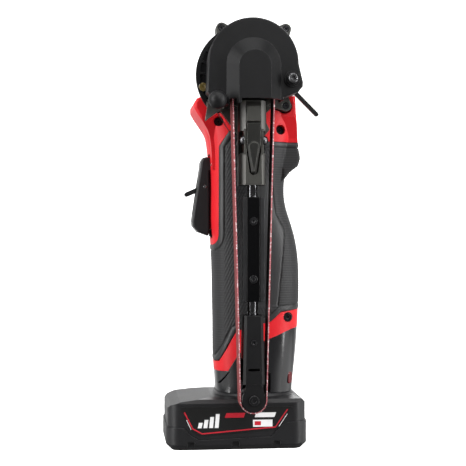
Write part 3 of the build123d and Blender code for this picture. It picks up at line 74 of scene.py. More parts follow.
class Surface:
    """A Principled material with named helper nodes, all in object space and in metres."""

    def __init__(self, name):
        self.material = bpy.data.materials.new(name)
        self.material.use_nodes = True
        self.tree = self.material.node_tree
        self.tree.nodes.clear()
        self.output = self.add("ShaderNodeOutputMaterial")
        self.shader = self.add("ShaderNodeBsdfPrincipled")
        self.link(self.shader.outputs[0], self.output.inputs[0])
        self.place = self.add("ShaderNodeTexCoord").outputs["Object"]

    def add(self, kind, **values):
        node = self.tree.nodes.new(kind)
        for key, value in values.items():
            setattr(node, key, value)
        return node

    def link(self, source, target):
        self.tree.links.new(source, target)

    def noise(self, cell, detail=4.0, stretch=(1.0, 1.0, 1.0)):
        """Noise between 0 and 1 whose blobs are about one cell across."""
        mapping = self.add("ShaderNodeMapping")
        mapping.inputs["Scale"].default_value = stretch
        self.link(self.place, mapping.inputs["Vector"])
        node = self.add("ShaderNodeTexNoise")
        node.inputs["Scale"].default_value = 1.0 / cell
        node.inputs["Detail"].default_value = detail
        self.link(mapping.outputs[0], node.inputs["Vector"])
        return node.outputs["Fac"]

    def cells(self, cell):
        """Distance to the nearest of many scattered points, for grit."""
        node = self.add("ShaderNodeTexVoronoi", feature="F1")
        node.inputs["Scale"].default_value = 1.0 / cell
        self.link(self.place, node.inputs["Vector"])
        return node.outputs["Distance"]

    def spread(self, value, low, high, from_low=0.0, from_high=1.0):
        """value, which runs from from_low to from_high, rescaled to run from low to high."""
        node = self.add("ShaderNodeMapRange")
        self.link(value, node.inputs["Value"])
        node.inputs["From Min"].default_value = from_low
        node.inputs["From Max"].default_value = from_high
        node.inputs["To Min"].default_value = low
        node.inputs["To Max"].default_value = high
        return node.outputs["Result"]

    def math(self, operation, first, second):
        node = self.add("ShaderNodeMath", operation=operation)
        for slot, value in enumerate((first, second)):
            if isinstance(value, (int, float)):
                node.inputs[slot].default_value = value
            else:
                self.link(value, node.inputs[slot])
        return node.outputs[0]

    def mix(self, share, first, second):
        node = self.add("ShaderNodeMix", data_type="RGBA")
        self.link(share, node.inputs["Factor"])
        for slot, value in ((MIX_FIRST, first), (MIX_SECOND, second)):
            if isinstance(value, tuple):
                node.inputs[slot].default_value = (*value, 1.0)
            else:
                self.link(value, node.inputs[slot])
        return node.outputs[MIX_RESULT]

    def attribute(self, name):
        return self.add("ShaderNodeAttribute", attribute_name=name).outputs["Fac"]

    def rounded(self, radius):
        """Normal that rounds every sharp edge by a small radius."""
        node = self.add("ShaderNodeBevel", samples=4)
        node.inputs["Radius"].default_value = radius
        return node.outputs[0]

    def edge_mask(self, radius):
        """1 close to sharp edges, 0 elsewhere."""
        geometry = self.add("ShaderNodeNewGeometry")
        dot = self.add("ShaderNodeVectorMath", operation="DOT_PRODUCT")
        self.link(self.rounded(radius), dot.inputs[0])
        self.link(geometry.outputs["Normal"], dot.inputs[1])
        return self.spread(dot.outputs["Value"], 1.0, 0.0, EDGE_DOT, FLAT_DOT)

    def rubbed_edges(self, radius, patch, low, high, from_low, from_high):
        """Edge mask broken up by patches of noise."""
        patches = self.spread(self.noise(patch), low, high, from_low, from_high)
        return self.math("MULTIPLY", self.edge_mask(radius), patches)

    def bump(self, height, depth, normal=None):
        node = self.add("ShaderNodeBump")
        node.inputs["Distance"].default_value = depth
        self.link(height, node.inputs["Height"])
        if normal is not None:
            self.link(normal, node.inputs["Normal"])
        return node.outputs[0]

    def set(self, socket, value):
        target = self.shader.inputs[socket]
        if isinstance(value, tuple):
            target.default_value = (*value, 1.0)
        elif isinstance(value, (int, float)):
            target.default_value = value
        else:
            self.link(value, target)


def scaled(colour, gain, offset=0.0):
    """Colour times gain plus offset, with no channel above 1."""
    return tuple(min(1.0, gain * channel + offset) for channel in colour)


def moulded(name, colour, rough, grain=0.35 * MM, depth=0.03 * MM, edge=0.5 * MM, worn=None, sheen=0.5):
    """Moulded plastic or rubber: fine spark grain, blotchy sheen, slightly rubbed edges."""
    s = Surface(name)
    blotch = s.noise(18 * MM)
    fine = s.noise(grain, detail=2.0)
    base = s.mix(blotch, scaled(colour, 0.80), scaled(colour, 1.16))
    speckle = s.spread(fine, 0.0, 0.30, 0.45, 0.8)
    base = s.mix(speckle, base, scaled(colour, 1.6, 0.001))
    rub = s.rubbed_edges(edge, 3 * MM, 0.0, 0.8, 0.35, 0.7)
    base = s.mix(rub, base, worn or scaled(colour, 1.7, 0.02))
    s.set("Base Color", base)
    s.set("Roughness", s.spread(blotch, rough - 0.03, rough + 0.03))
    s.set("Specular IOR Level", sheen)
    s.set("Normal", s.bump(fine, depth, s.rounded(edge)))
    return s.material


def metal(name, colour, rough, depth=0.03 * MM, edge=0.25 * MM, stretch=(1, 1, 1), shine=1.0,
          worn=(0.6, 0.6, 0.6), sheen=0.5):
    """Metal with grain or drawn lines, and brighter rubbed edges."""
    s = Surface(name)
    blotch = s.noise(9 * MM)
    fine = s.noise(0.5 * MM, detail=3.0, stretch=stretch)
    base = s.mix(blotch, scaled(colour, 0.75), scaled(colour, 1.2))
    rub = s.rubbed_edges(edge, 2 * MM, 0.1, 0.9, 0.4, 0.65)
    base = s.mix(rub, base, worn)
    s.set("Base Color", base)
    s.set("Metallic", shine)
    patchy = s.spread(blotch, rough - 0.04, rough + 0.04)
    s.set("Roughness", s.math("ADD", patchy, s.spread(fine, -0.05, 0.05)))
    s.set("Specular IOR Level", sheen)
    s.set("Normal", s.bump(fine, depth, s.rounded(edge)))
    return s.material


def casting_with_painted_facet_light(name, flat_colour, lit_facet_colour):
    """Cast metal whose slanted side facets are painted brighter and less metallic than its flat front, as
    painted light from the sides.
    """
    s = Surface(name)
    blotch = s.noise(7 * MM)
    fine = s.noise(0.5 * MM, detail=3.0)
    split = s.add("ShaderNodeSeparateXYZ")
    s.link(s.add("ShaderNodeTexCoord").outputs["Normal"], split.inputs[0])
    sideways = s.math("ABSOLUTE", split.outputs["X"], 0.0)
    off_front = s.spread(sideways, 0.0, 1.0, 0.25, 0.35)
    off_side = s.spread(sideways, 1.0, 0.0, 0.90, 0.97)
    # painted light: facets that face sideways get a lighter colour, as if lit by the side lamps
    lit_facet = s.math("MULTIPLY", off_front, off_side)
    base = s.mix(lit_facet, flat_colour, lit_facet_colour)
    stain = (0.5 * flat_colour[0],) * 3
    base = s.mix(s.spread(blotch, 0.0, 0.25), base, stain)
    rub = s.rubbed_edges(0.3 * MM, 2 * MM, 0.1, 0.8, 0.4, 0.65)
    s.set("Base Color", s.mix(rub, base, (0.30, 0.30, 0.28)))
    s.set("Metallic", s.spread(lit_facet, 0.6, 0.1))
    s.set("Roughness", s.spread(fine, 0.40, 0.52))
    s.set("Normal", s.bump(fine, 0.06 * MM, s.rounded(0.25 * MM)))
    return s.material


def make_materials():
    """One material for each finish, by name."""
    return {
        "red_plastic": moulded("red_plastic", (0.68, 0.010, 0.017), 0.45, worn=(0.90, 0.08, 0.09),
                               sheen=0.28),
        "grip_rubber": moulded("grip_rubber", (0.028, 0.028, 0.030), 0.62, depth=0.05 * MM, sheen=0.35),
        "dark_plastic": moulded("dark_plastic", (0.007, 0.007, 0.008), 0.24, depth=0.008 * MM, sheen=0.4),
        "black_plastic": moulded("black_plastic", (0.013, 0.013, 0.014), 0.36, sheen=0.35),
        "screw_steel": metal("screw_steel", (0.045, 0.045, 0.048), 0.34, depth=0.008 * MM,
                             worn=(0.32, 0.32, 0.32)),
        "bearing_steel": metal("bearing_steel", (0.36, 0.36, 0.37), 0.18, depth=0.005 * MM),
        "gear_steel": metal("gear_steel", (0.13, 0.13, 0.135), 0.28, depth=0.012 * MM,
                            worn=(0.42, 0.42, 0.42)),
        "cast_metal": metal("cast_metal", (0.085, 0.085, 0.078), 0.46, depth=0.06 * MM, shine=0.75,
                            worn=(0.34, 0.34, 0.32)),
        # the black coat's lighter edges are edge wear together with a painted rim highlight
        "black_coat": metal("black_coat", (0.0050, 0.0050, 0.0055), 0.46, depth=0.03 * MM, shine=0.0,
                            worn=(0.10, 0.10, 0.10), sheen=0.25),
        # the bracket's slanted side facets are painted lighter, as painted light
        "bracket_painted_facets": casting_with_painted_facet_light("bracket_painted_facets", (0.066, 0.065, 0.058), (0.18, 0.176, 0.165)),
        "lever_cast": metal("lever_cast", (0.020, 0.020, 0.018), 0.44, depth=0.05 * MM, edge=0.6 * MM,
                            shine=0.6, worn=(0.22, 0.22, 0.20)),
        "gloss_plastic": moulded("gloss_plastic", (0.009, 0.009, 0.010), 0.17, depth=0.005 * MM),
        "lamination": metal("lamination", (0.22, 0.22, 0.24), 0.45, stretch=(0.2, 0.2, 4.0)),
        "copper": metal("copper", (0.62, 0.24, 0.10), 0.35, stretch=(0.3, 0.3, 5.0), depth=0.1 * MM),
        "brass": metal("brass", (0.62, 0.46, 0.16), 0.34),
        "board_green": moulded("board_green", (0.01, 0.12, 0.05), 0.35),
        "jet_black": moulded("jet_black", (0.0012, 0.0012, 0.0015), 0.30, depth=0.006 * MM, sheen=0.15),
        "roller_rubber": moulded("roller_rubber", (0.02, 0.02, 0.02), 0.7, depth=0.08 * MM),
        "drawn_rod": metal("drawn_rod", (0.10, 0.10, 0.105), 0.22, depth=0.004 * MM,
                           stretch=(3.0, 3.0, 0.15)),
        "ground_steel": metal("ground_steel", (0.10, 0.10, 0.104), 0.32, depth=0.006 * MM, edge=0.15 * MM,
                              stretch=(2.0, 2.0, 0.2), worn=(0.13, 0.13, 0.13)),
        "dark_screw": metal("dark_screw", (0.16, 0.16, 0.165), 0.24, depth=0.008 * MM, edge=0.35 * MM,
                            worn=(0.40, 0.40, 0.41)),
        "cell_wrap": moulded("cell_wrap", (0.05, 0.20, 0.32), 0.3),
        "label_print": moulded("label_print", (0.008, 0.008, 0.009), 0.28, depth=0.005 * MM),
        "abrasive": moulded("abrasive", (0.30, 0.05, 0.05), 0.8, depth=0.2 * MM),
    }


# nodes that look different from the rest of their record slot
SPECIAL_FINISH = {
    "platen_block": "jet_black", "slide_rod": "drawn_rod", "lever_pin": "gear_steel",
    "roller_carrier": "black_coat", "platen": "ground_steel", "cover_screw": "dark_screw",
    "arm_bracket": "bracket_painted_facets", "tension_lever": "lever_cast", "battery_collar": "gloss_plastic",
    "tracking_knob": "black_coat",
}


def dress_cad_nodes(materials):
    """Every CAD node takes its special finish, or else the finish its record slot names."""
    for subpart in frame["record"]["subparts"]:
        name = subpart["node"]
        finish = SPECIAL_FINISH.get(name, subpart["material_slot"])
        mesh = NODES[name].data
        mesh.materials.clear()
        mesh.materials.append(materials[finish])


# ------------------------------------------------------------------ mesh toolkit
def new_piece(name, vertices, faces, body, material, slot, smooth=True, replaced=()):
    """A mesh object that rides on a CAD body, or on none."""
    mesh = bpy.data.meshes.new(name)
    places = [tuple(map(float, vertex)) for vertex in vertices]
    mesh.from_pydata(places, [], [tuple(map(int, face)) for face in faces])
    shaped = bmesh.new()
    shaped.from_mesh(mesh)
    bmesh.ops.recalc_face_normals(shaped, faces=shaped.faces)
    shaped.to_mesh(mesh)
    shaped.free()
    mesh.update()
    mesh.materials.append(material)
    mesh.polygons.foreach_set("use_smooth", [smooth] * len(mesh.polygons))
    piece = bpy.data.objects.new(name, mesh)
    bpy.context.collection.objects.link(piece)
    if body is not None:
        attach(piece, body)
    if replaced:
        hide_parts(*replaced)
    return piece


def store(mesh, name, values):
    """Keeps one number per vertex, for the material to read."""
    layer = mesh.attributes.new(name, "FLOAT", "POINT")
    layer.data.foreach_set("value", np.asarray(values, dtype=np.float32))


def smooth_step(value, low, high):
    """0 below low, 1 above high, and an S-shaped rise between."""
    share = np.clip((value - low) / (high - low), 0.0, 1.0)
    return share * share * (3.0 - 2.0 * share)


def distance_to_lines(x, z, lines):
    """Distance in the front view from each point to the nearest of several polylines."""
    nearest = np.full(x.shape, 1.0)
    for line in lines:
        for (x0, z0), (x1, z1) in zip(line, line[1:]):
            dx, dz = x1 - x0, z1 - z0
            share = np.clip(((x - x0) * dx + (z - z0) * dz) / (dx * dx + dz * dz), 0.0, 1.0)
            nearest = np.minimum(nearest, np.hypot(x - x0 - share * dx, z - z0 - share * dz))
    return nearest


def in_metres(points):
    return [(x * MM, z * MM) for x, z in points]


def ring_faces(rings, count, capped=True):
    """Quads from each ring of count vertices to the next, and a cap on either end."""
    faces = []
    for ring in range(rings - 1):
        lower, upper = ring * count, (ring + 1) * count
        for side in range(count):
            after = (side + 1) % count
            faces.append((lower + side, lower + after, upper + after, upper + side))
    if capped:
        faces.append(tuple(range(count))[::-1])
        faces.append(tuple(range((rings - 1) * count, rings * count)))
    return faces


def prism(outline, y_outer, y_inner, bevel=0.0):
    """Closed thin plate from a front-view outline, its outer face edge drawn in by a bevel."""
    outline = np.array(outline)
    spokes = outline - outline.mean(axis=0)
    inset = outline - spokes / np.linalg.norm(spokes, axis=1, keepdims=True) * bevel
    step = math.copysign(bevel, y_outer - y_inner)
    rings = [(outline, y_inner), (outline, y_outer - step)]
    if bevel > 0.0:
        rings.append((inset, y_outer))
    vertices = [(x, y, z) for ring, y in rings for x, z in ring]
    return vertices, ring_faces(len(rings), len(outline))


def merge(parts):
    """Joins several (vertices, faces) lists into one."""
    vertices, faces = [], []
    for part_vertices, part_faces in parts:
        start = len(vertices)
        vertices += list(part_vertices)
        faces += [tuple(i + start for i in face) for face in part_faces]
    return vertices, faces


def ribbon(line, width, y_outer, y_inner):
    """Narrow raised strip that follows a front-view polyline."""
    line = np.array(line)
    along = np.gradient(line, axis=0)
    along[1:-1] = line[2:] - line[:-2]
    along /= np.linalg.norm(along, axis=1, keepdims=True)
    across = np.stack([-along[:, 1], along[:, 0]], axis=1) * width / 2
    outline = np.concatenate([line + across, (line - across)[::-1]])
    return prism([tuple(p) for p in outline], y_outer, y_inner)


# ------------------------------------------------------------------ rubber grips
GRIP_BORDERS = [in_metres(line) for line in (
    ((-8.7, 194.0), (-12.3, 191.5), (-17.8, 183.0), (-17.8, 128.8), (-18.4, 125.8), (-19.6, 123.8),
     (-21.0, 122.9), (-22.6, 124.0), (-34.0, 127.0)),
    ((-34.0, 46.5), (-21.0, 50.8), (-17.2, 52.0), (-7.5, 70.6), (-3.2, 72.2), (13.4, 76.4), (19.6, 82.0),
     (40.0, 84.4)),
    ((40.0, 185.6), (11.6, 185.6), (7.0, 184.0), (-4.6, 184.0)),
)]
PANEL_EDGE = in_metres(((14.0, 165.0), (16.5, 141.7), (22.0, 132.5), (22.0, 127.7), (17.7, 86.1)))
PANEL_LEFT = 6.0 * MM
BORDER_WIDTH = 3.4 * MM
BORDER_HEIGHT = 0.35 * MM
TWILL_PITCH = 1.7 * MM
TWILL_ROW = 1.15 * TWILL_PITCH
TWILL_HEIGHT = 0.34 * MM
RIB_PITCH = 1.5 * MM
RIB_HEIGHT = 0.24 * MM
# the twill gives way to ribs between these distances left and right of the spindle
RIBS_LEFT = (14.0 * MM, 15.6 * MM)
RIBS_RIGHT = (13.0 * MM, 14.6 * MM)
GROOVE_DEPTH = 0.45 * MM
# a groove is at full depth out to the first distance from its line and ends at the second
BORDER_GROOVE = (0.15 * MM, 0.55 * MM)
PANEL_GROOVE = (0.15 * MM, 0.50 * MM)
GRIP_MIDDLE_X = 4.0 * MM
# how squarely a face has to look away from the handle's middle to be textured
OUTWARD = (0.3, 0.6)
GRIP_VOXEL = 0.6 * MM


def remeshed(node, voxel):
    """A CAD node's shape as an even mesh of voxel-sized faces."""
    copy = bpy.data.objects.new(node + "_skin", NODES[node].data.copy())
    bpy.context.collection.objects.link(copy)
    modifier = copy.modifiers.new("voxels", "REMESH")
    modifier.mode = "VOXEL"
    modifier.voxel_size = voxel
    modifier.use_smooth_shade = True
    even = bpy.data.meshes.new_from_object(copy.evaluated_get(bpy.context.evaluated_depsgraph_get()))
    bpy.data.objects.remove(copy)
    return even


def twill(u, v):
    """Woven look: short diagonal bars in staggered rows, between 0 and 1."""
    stagger, lean, gap = 0.5, 0.55, 0.2
    row = np.floor(v)
    share = v - row
    bar = 0.5 + 0.5 * np.cos(2.0 * math.pi * (u + stagger * row + lean * share))
    ends = smooth_step(share, 0.0, gap) * smooth_step(1.0 - share, 0.0, gap)
    return smooth_step(bar, 0.25, 0.75) * ends


def panel_share(x, z):
    """1 on the smooth panel in the middle of the handle, 0 off it."""
    edge_z = np.array([p[1] for p in PANEL_EDGE][::-1])
    edge_x = np.array([p[0] for p in PANEL_EDGE][::-1])
    right = np.interp(z, edge_z, edge_x)
    inside = (x < right) & (x > PANEL_LEFT) & (z > edge_z[0]) & (z < edge_z[-1])
    return inside.astype(float)


def make_grip(side_name, material):
    """The CAD grip with its raised borders, grooves, twill and ribs pushed out along the normals."""
    node = side_name + "_grip"
    mesh = remeshed(node, GRIP_VOXEL)
    count = len(mesh.vertices)
    places, normals = np.empty(count * 3), np.empty(count * 3)
    mesh.vertices.foreach_get("co", places)
    mesh.vertices.foreach_get("normal", normals)
    places, normals = places.reshape(-1, 3), normals.reshape(-1, 3)
    x, y, z = places.T
    radial = np.stack([x - GRIP_MIDDLE_X, y, np.zeros(count)], axis=1)
    radial /= np.linalg.norm(radial, axis=1, keepdims=True)
    outer = smooth_step((radial * normals).sum(axis=1), *OUTWARD)
    border = distance_to_lines(x, z, GRIP_BORDERS)
    across = (border - 0.5 * BORDER_WIDTH) / (0.5 * BORDER_WIDTH)
    bead = BORDER_HEIGHT * np.sqrt(np.clip(1.0 - across ** 2, 0.0, 1.0))
    border_groove = 1.0 - smooth_step(np.abs(border - BORDER_WIDTH), *BORDER_GROOVE)
    panel_line = distance_to_lines(x, z, [PANEL_EDGE])
    groove_and_shade = np.maximum(border_groove, 1.0 - smooth_step(panel_line, *PANEL_GROOVE))
    panel = panel_share(x, z) * (border > BORDER_WIDTH)
    turned = np.maximum(smooth_step(-x, *RIBS_LEFT), smooth_step(x, *RIBS_RIGHT))
    weave = twill(np.abs(x - GRIP_MIDDLE_X) / TWILL_PITCH, z / TWILL_ROW)
    ribs = 0.5 + 0.5 * np.cos(2.0 * math.pi * z / RIB_PITCH)
    field = (1.0 - panel) * (border > BORDER_WIDTH)
    texture = field * ((1.0 - turned) * TWILL_HEIGHT * weave + turned * RIB_HEIGHT * ribs)
    texture[border < BORDER_WIDTH] = bead[border < BORDER_WIDTH]
    lift = outer * (texture - GROOVE_DEPTH * groove_and_shade)
    places = places + normals * lift[:, None]
    mesh.vertices.foreach_set("co", places.ravel())
    mesh.update()
    # the grooves are stored for painted shade in the material
    store(mesh, "groove_and_shade", groove_and_shade * outer)
    store(mesh, "panel", np.maximum(panel, border < BORDER_WIDTH) * outer)
    # the raised texture is stored for a painted highlight in the material
    store(mesh, "raised_highlight", np.where(field > 0, (1.0 - turned) * weave + turned * ribs, 0.5))
    mesh.materials.clear()
    mesh.materials.append(material)
    piece = bpy.data.objects.new(side_name + "_grip_skin", mesh)
    bpy.context.collection.objects.link(piece)
    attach(piece, "tool_body")
    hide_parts(node)


def grip_material():
    """Rubber whose painted shade in the grooves, smooth panel and painted highlight on the raised texture
    come from the stored numbers.
    """
    s = Surface("grip_skin")
    groove_and_shade, panel, raised_highlight = s.attribute("groove_and_shade"), s.attribute("panel"), s.attribute("raised_highlight")
    blotch = s.noise(14 * MM)
    fine = s.noise(0.25 * MM, detail=2.0)
    base = s.mix(blotch, (0.005, 0.005, 0.006), (0.009, 0.009, 0.010))
    # painted highlight: the raised twill and ribs are painted lighter than the rubber between them
    base = s.mix(s.spread(raised_highlight, 0.0, 0.9), base, (0.027, 0.027, 0.028))
    base = s.mix(panel, base, (0.022, 0.022, 0.023))
    # painted shade: the grooves are painted nearly black
    base = s.mix(groove_and_shade, base, (0.001, 0.001, 0.001))
    s.set("Base Color", base)
    s.set("Specular IOR Level", 0.4)
    s.set("Roughness", s.math("SUBTRACT", s.spread(blotch, 0.52, 0.66), s.spread(panel, 0.0, 0.16)))
    s.set("Normal", s.bump(fine, 0.03 * MM))
    return s.material


# ------------------------------------------------------------------ abrasive belt
BELT_THICK = 0.8 * MM
BELT_STEP = 0.30 * MM
RUN_GAP = 0.05 * MM
BELT_SEED = 11
GRIT_HEIGHT = 0.035 * MM
STRAND_PITCH = 1.1 * MM
STRAND_HEIGHT = 0.10 * MM
FRAY = 0.16 * MM
FRAY_ROUGH, FRAY_WANDER = 0.7, 0.8
WANDER_WINDOW = 7
# cross-section points as (share of width from front to back, share of thickness outward)
BELT_SECTION = (
    (0.0, -0.35), (0.0, 0.0), (0.0, 0.35),
    (0.02, 0.5), (0.25, 0.5), (0.5, 0.5), (0.75, 0.5), (0.98, 0.5),
    (1.0, 0.35), (1.0, 0.0), (1.0, -0.35),
    (0.98, -0.5), (0.75, -0.5), (0.5, -0.5), (0.25, -0.5), (0.02, -0.5),
)
# how strongly the points at each share of the width are frayed, where they are at all
FRAYED = {0.0: 1.0, 0.02: 0.6, 0.98: 0.6, 1.0: 1.0}


def belt_path():
    """Centre line of the loop in the front view, with outward normals, evenly spaced."""
    wheels = []
    for node in ("drive_pulley", "idler_roller"):
        low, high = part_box(node)
        centre = ((low[0] + high[0]) / 2, (low[2] + high[2]) / 2)
        wheels.append((centre, (high[0] - low[0]) / 2 + RUN_GAP + BELT_THICK / 2))
    (top, top_r), (end, end_r) = wheels
    lean = math.asin((top_r - end_r) / (top[1] - end[1]))
    arcs = ((top, top_r, -lean, math.pi + lean), (end, end_r, math.pi + lean, 2 * math.pi - lean))
    points = []
    for centre, radius, start, stop in arcs:
        for turn in np.linspace(start, stop, int((stop - start) * radius / BELT_STEP)):
            points.append((centre[0] + radius * math.cos(turn), centre[1] + radius * math.sin(turn)))
    points = np.array(points + [points[0]])
    lengths = np.concatenate([[0.0], np.cumsum(np.linalg.norm(np.diff(points, axis=0), axis=1))])
    count = int(lengths[-1] / BELT_STEP)
    along = np.linspace(0.0, lengths[-1], count, endpoint=False)
    line = np.stack([np.interp(along, lengths, points[:, axis]) for axis in (0, 1)], axis=1)
    tangent = np.roll(line, -1, axis=0) - np.roll(line, 1, axis=0)
    tangent /= np.linalg.norm(tangent, axis=1, keepdims=True)
    outward = np.stack([tangent[:, 1], -tangent[:, 0]], axis=1)
    return line, outward, along


def make_belt(material):
    """The loop as a frayed, gritty band round both of its wheels."""
    line, outward, along = belt_path()
    low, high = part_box("abrasive_belt")
    front, back = low[1], high[1]
    rng = np.random.default_rng(BELT_SEED)
    count = len(line)
    window = np.ones(WANDER_WINDOW) / WANDER_WINDOW
    strand = np.sin(2.0 * math.pi * along / STRAND_PITCH)
    rings, edge_mask, face_mask = [], [], []
    for share, height in BELT_SECTION:
        at_edge = FRAYED.get(share, 0.0)
        wander = np.convolve(rng.normal(size=count + WANDER_WINDOW - 1), window, mode="valid")
        rough = rng.uniform(-1.0, 1.0, count)
        pull = at_edge * FRAY * (FRAY_ROUGH * rough + FRAY_WANDER * wander)
        depth = front + (back - front) * share + (pull if share > 0.5 else -pull)
        grit = GRIT_HEIGHT * rough if height == 0.5 else 0.0
        bulge = at_edge * STRAND_HEIGHT * strand * np.sign(height or 1.0)
        thick = BELT_THICK * height + bulge + grit
        x = line[:, 0] + outward[:, 0] * thick
        z = line[:, 1] + outward[:, 1] * thick
        rings.append(np.stack([x, depth, z], axis=1))
        edge_mask.append(np.full(count, 1.0 if at_edge == 1.0 else 0.0))
        face_mask.append(np.full(count, 1.0 if height > 0 else 0.0))
    faces = []
    for ring in range(len(rings)):
        here, there = ring * count, (ring + 1) % len(rings) * count
        for i in range(count):
            j = (i + 1) % count
            faces.append((here + i, here + j, there + j, there + i))
    belt = new_piece("belt_loop", np.concatenate(rings), faces, None, material, "abrasive",
                     replaced=("abrasive_belt",))
    store(belt.data, "belt_edge", np.concatenate(edge_mask))
    store(belt.data, "belt_outer", np.concatenate(face_mask))
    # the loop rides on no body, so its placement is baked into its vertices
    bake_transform(belt)


def belt_material():
    """Red grit on the outside, dark cloth on the inside and a pale fleck along the rim."""
    s = Surface("belt_cloth")
    edge, outer = s.attribute("belt_edge"), s.attribute("belt_outer")
    grit = s.cells(0.45 * MM)
    blotch = s.noise(5 * MM)
    face = s.mix(s.spread(grit, 0.0, 1.0, 0.1, 0.6), (0.14, 0.016, 0.018), (0.26, 0.05, 0.05))
    face = s.mix(s.spread(blotch, 0.0, 0.5), face, (0.10, 0.014, 0.016))
    cloth = s.mix(s.noise(0.5 * MM, stretch=(1, 4, 1)), (0.010, 0.009, 0.009), (0.030, 0.022, 0.021))
    base = s.mix(outer, cloth, face)
    fleck = s.spread(s.noise(0.9 * MM, detail=6.0), 0.0, 1.0, 0.52, 0.62)
    rim = s.mix(fleck, (0.50, 0.13, 0.15), (0.92, 0.78, 0.78))
    base = s.mix(edge, base, rim)
    s.set("Base Color", base)
    s.set("Roughness", s.spread(grit, 0.65, 0.9))
    s.set("Normal", s.bump(grit, 0.12 * MM))
    return s.material


# ------------------------------------------------------------------ battery labels
def paint(name, colour, rough=0.35):
    """Smooth print or lens, finer grained than the mouldings."""
    return moulded(name, colour, rough, grain=0.2 * MM, depth=0.004 * MM, edge=0.08 * MM)


LABEL_THICK = 0.30 * MM
LABEL_BEVEL = 0.06 * MM
# what is printed starts inside the label and stands a little proud of it
PRINT_FOOT, PRINT_TOP = 0.20 * MM, 0.36 * MM
HAIRLINE_TOP = 0.35 * MM
INLAY_FOOT, INLAY_TOP = 0.30 * MM, 0.40 * MM
LABEL_OUTLINE = in_metres(((-41.5, 26.3), (25.5, 25.8), (16.3, 12.1), (-29.5, 8.8), (-36.1, 12.5)))
RED_LINE = in_metres(((-39.6, 23.2), (-34.6, 13.4), (-29.0, 10.2), (15.2, 13.6), (22.6, 24.2)))
RED_LINE_WIDTH = 0.75 * MM
HAIRLINES = [in_metres(line) for line in (((-38.3, 18.6), (-35.6, 12.9)), ((17.4, 14.0), (22.4, 21.4)))]
HAIRLINE_WIDTH = 0.32 * MM
# the rising bars stand for the charge of the battery; in millimetres
RISING_BARS = 4
BARS_LEFT, BARS_FOOT = -31.6, 13.6
BAR_PITCH, BAR_WIDTH, BAR_LEAN = 3.4, 2.3, 0.7
BAR_FIRST_HEIGHT, BAR_GROWTH = 3.2, 1.7


def bar_outline(left, foot, wide, tall, lean=0.0):
    """Outline of a printed bar from its lower left corner, all in millimetres."""
    top = foot + tall
    return in_metres(((left, foot), (left + wide, foot), (left + wide + lean, top), (left + lean, top)))


def make_label(side, materials):
    """Black printed panel with a red line on three sides and plain bars where a maker would put words."""
    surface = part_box("battery_label")[1][1] - LABEL_THICK
    name = "label_front" if side < 0 else "label_rear"

    def levels(foot, top):
        return side * (surface + top), side * (surface + foot)

    def add(ending, parts, finish, replaced=()):
        new_piece(name + ending, *merge(parts), "battery_body", materials[finish], "label_print",
                  smooth=False, replaced=replaced)

    add("", [prism(LABEL_OUTLINE, *levels(0.0, LABEL_THICK), bevel=LABEL_BEVEL)], "label_field",
        replaced=("battery_label",) if side < 0 else ())
    printed = levels(PRINT_FOOT, PRINT_TOP)
    add("_red_line", [ribbon(RED_LINE, RED_LINE_WIDTH, *printed)], "label_red")
    white = [ribbon(line, HAIRLINE_WIDTH, *levels(PRINT_FOOT, HAIRLINE_TOP)) for line in HAIRLINES]
    for step in range(RISING_BARS):
        left, tall = BARS_LEFT + BAR_PITCH * step, BAR_FIRST_HEIGHT + BAR_GROWTH * step
        white.append(prism(bar_outline(left, BARS_FOOT, BAR_WIDTH, tall, BAR_LEAN), *printed))
    white.append(prism(bar_outline(2.6, 19.6, 12.0, 2.8, lean=1.0), *printed))
    white.append(prism(bar_outline(1.6, 13.9, 11.8, 4.2), *printed))
    add("_white_marks", white, "label_white")
    red = [prism(bar_outline(-15.4, 19.6, 11.4, 2.8, lean=1.0), *printed),
           prism(bar_outline(2.6, 14.8, 3.8, 2.4), *levels(INLAY_FOOT, INLAY_TOP))]
    add("_red_marks", red, "label_red")


# ------------------------------------------------------------------ springs and gauge window
def tube(line, radius, sides=10):
    """Round wire along a smooth 3-D line, closed at both ends."""
    line = np.array(line)
    along = np.gradient(line, axis=0)
    along /= np.linalg.norm(along, axis=1, keepdims=True)
    first = np.cross(along, (0.0, 1.0, 0.0))
    first /= np.linalg.norm(first, axis=1, keepdims=True)
    second = np.cross(along, first)
    vertices = []
    for place, u, v in zip(line, first, second):
        for side in range(sides):
            turn = 2.0 * math.pi * side / sides
            vertices.append(place + radius * (math.cos(turn) * u + math.sin(turn) * v))
    return vertices, ring_faces(len(line), sides)


LEG_START_X, LEG_START_Z = -20.9 * MM, 203.6 * MM
# how far the wire lies in from the bracket's back face
LEG_DEPTH = 2.9 * MM
# where the wire ends, left of the lever pin and below its top
LEG_PIN_GAP, LEG_PIN_DROP = 0.2 * MM, 1.6 * MM
LEG_SAG = 0.4 * MM
LEG_RADIUS = 0.3 * MM
LEG_POINTS = 24


def make_spring_leg(material):
    """Thin wire leg that lies in front of the arm plate, from the pointer to the lever pin."""
    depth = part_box("arm_bracket")[1][1] - LEG_DEPTH
    pin_low, pin_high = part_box("lever_pin")
    start = np.array((LEG_START_X, depth, LEG_START_Z))
    end = np.array((pin_low[0] - LEG_PIN_GAP, depth, pin_high[2] - LEG_PIN_DROP))
    share = np.linspace(0.0, 1.0, LEG_POINTS)[:, None]
    sag = np.array((-LEG_SAG, 0.0, -LEG_SAG)) * np.sin(math.pi * share)
    wire = tube(start + (end - start) * share + sag, LEG_RADIUS)
    new_piece("spring_leg", *wire, "arm_body", material, "screw_steel")


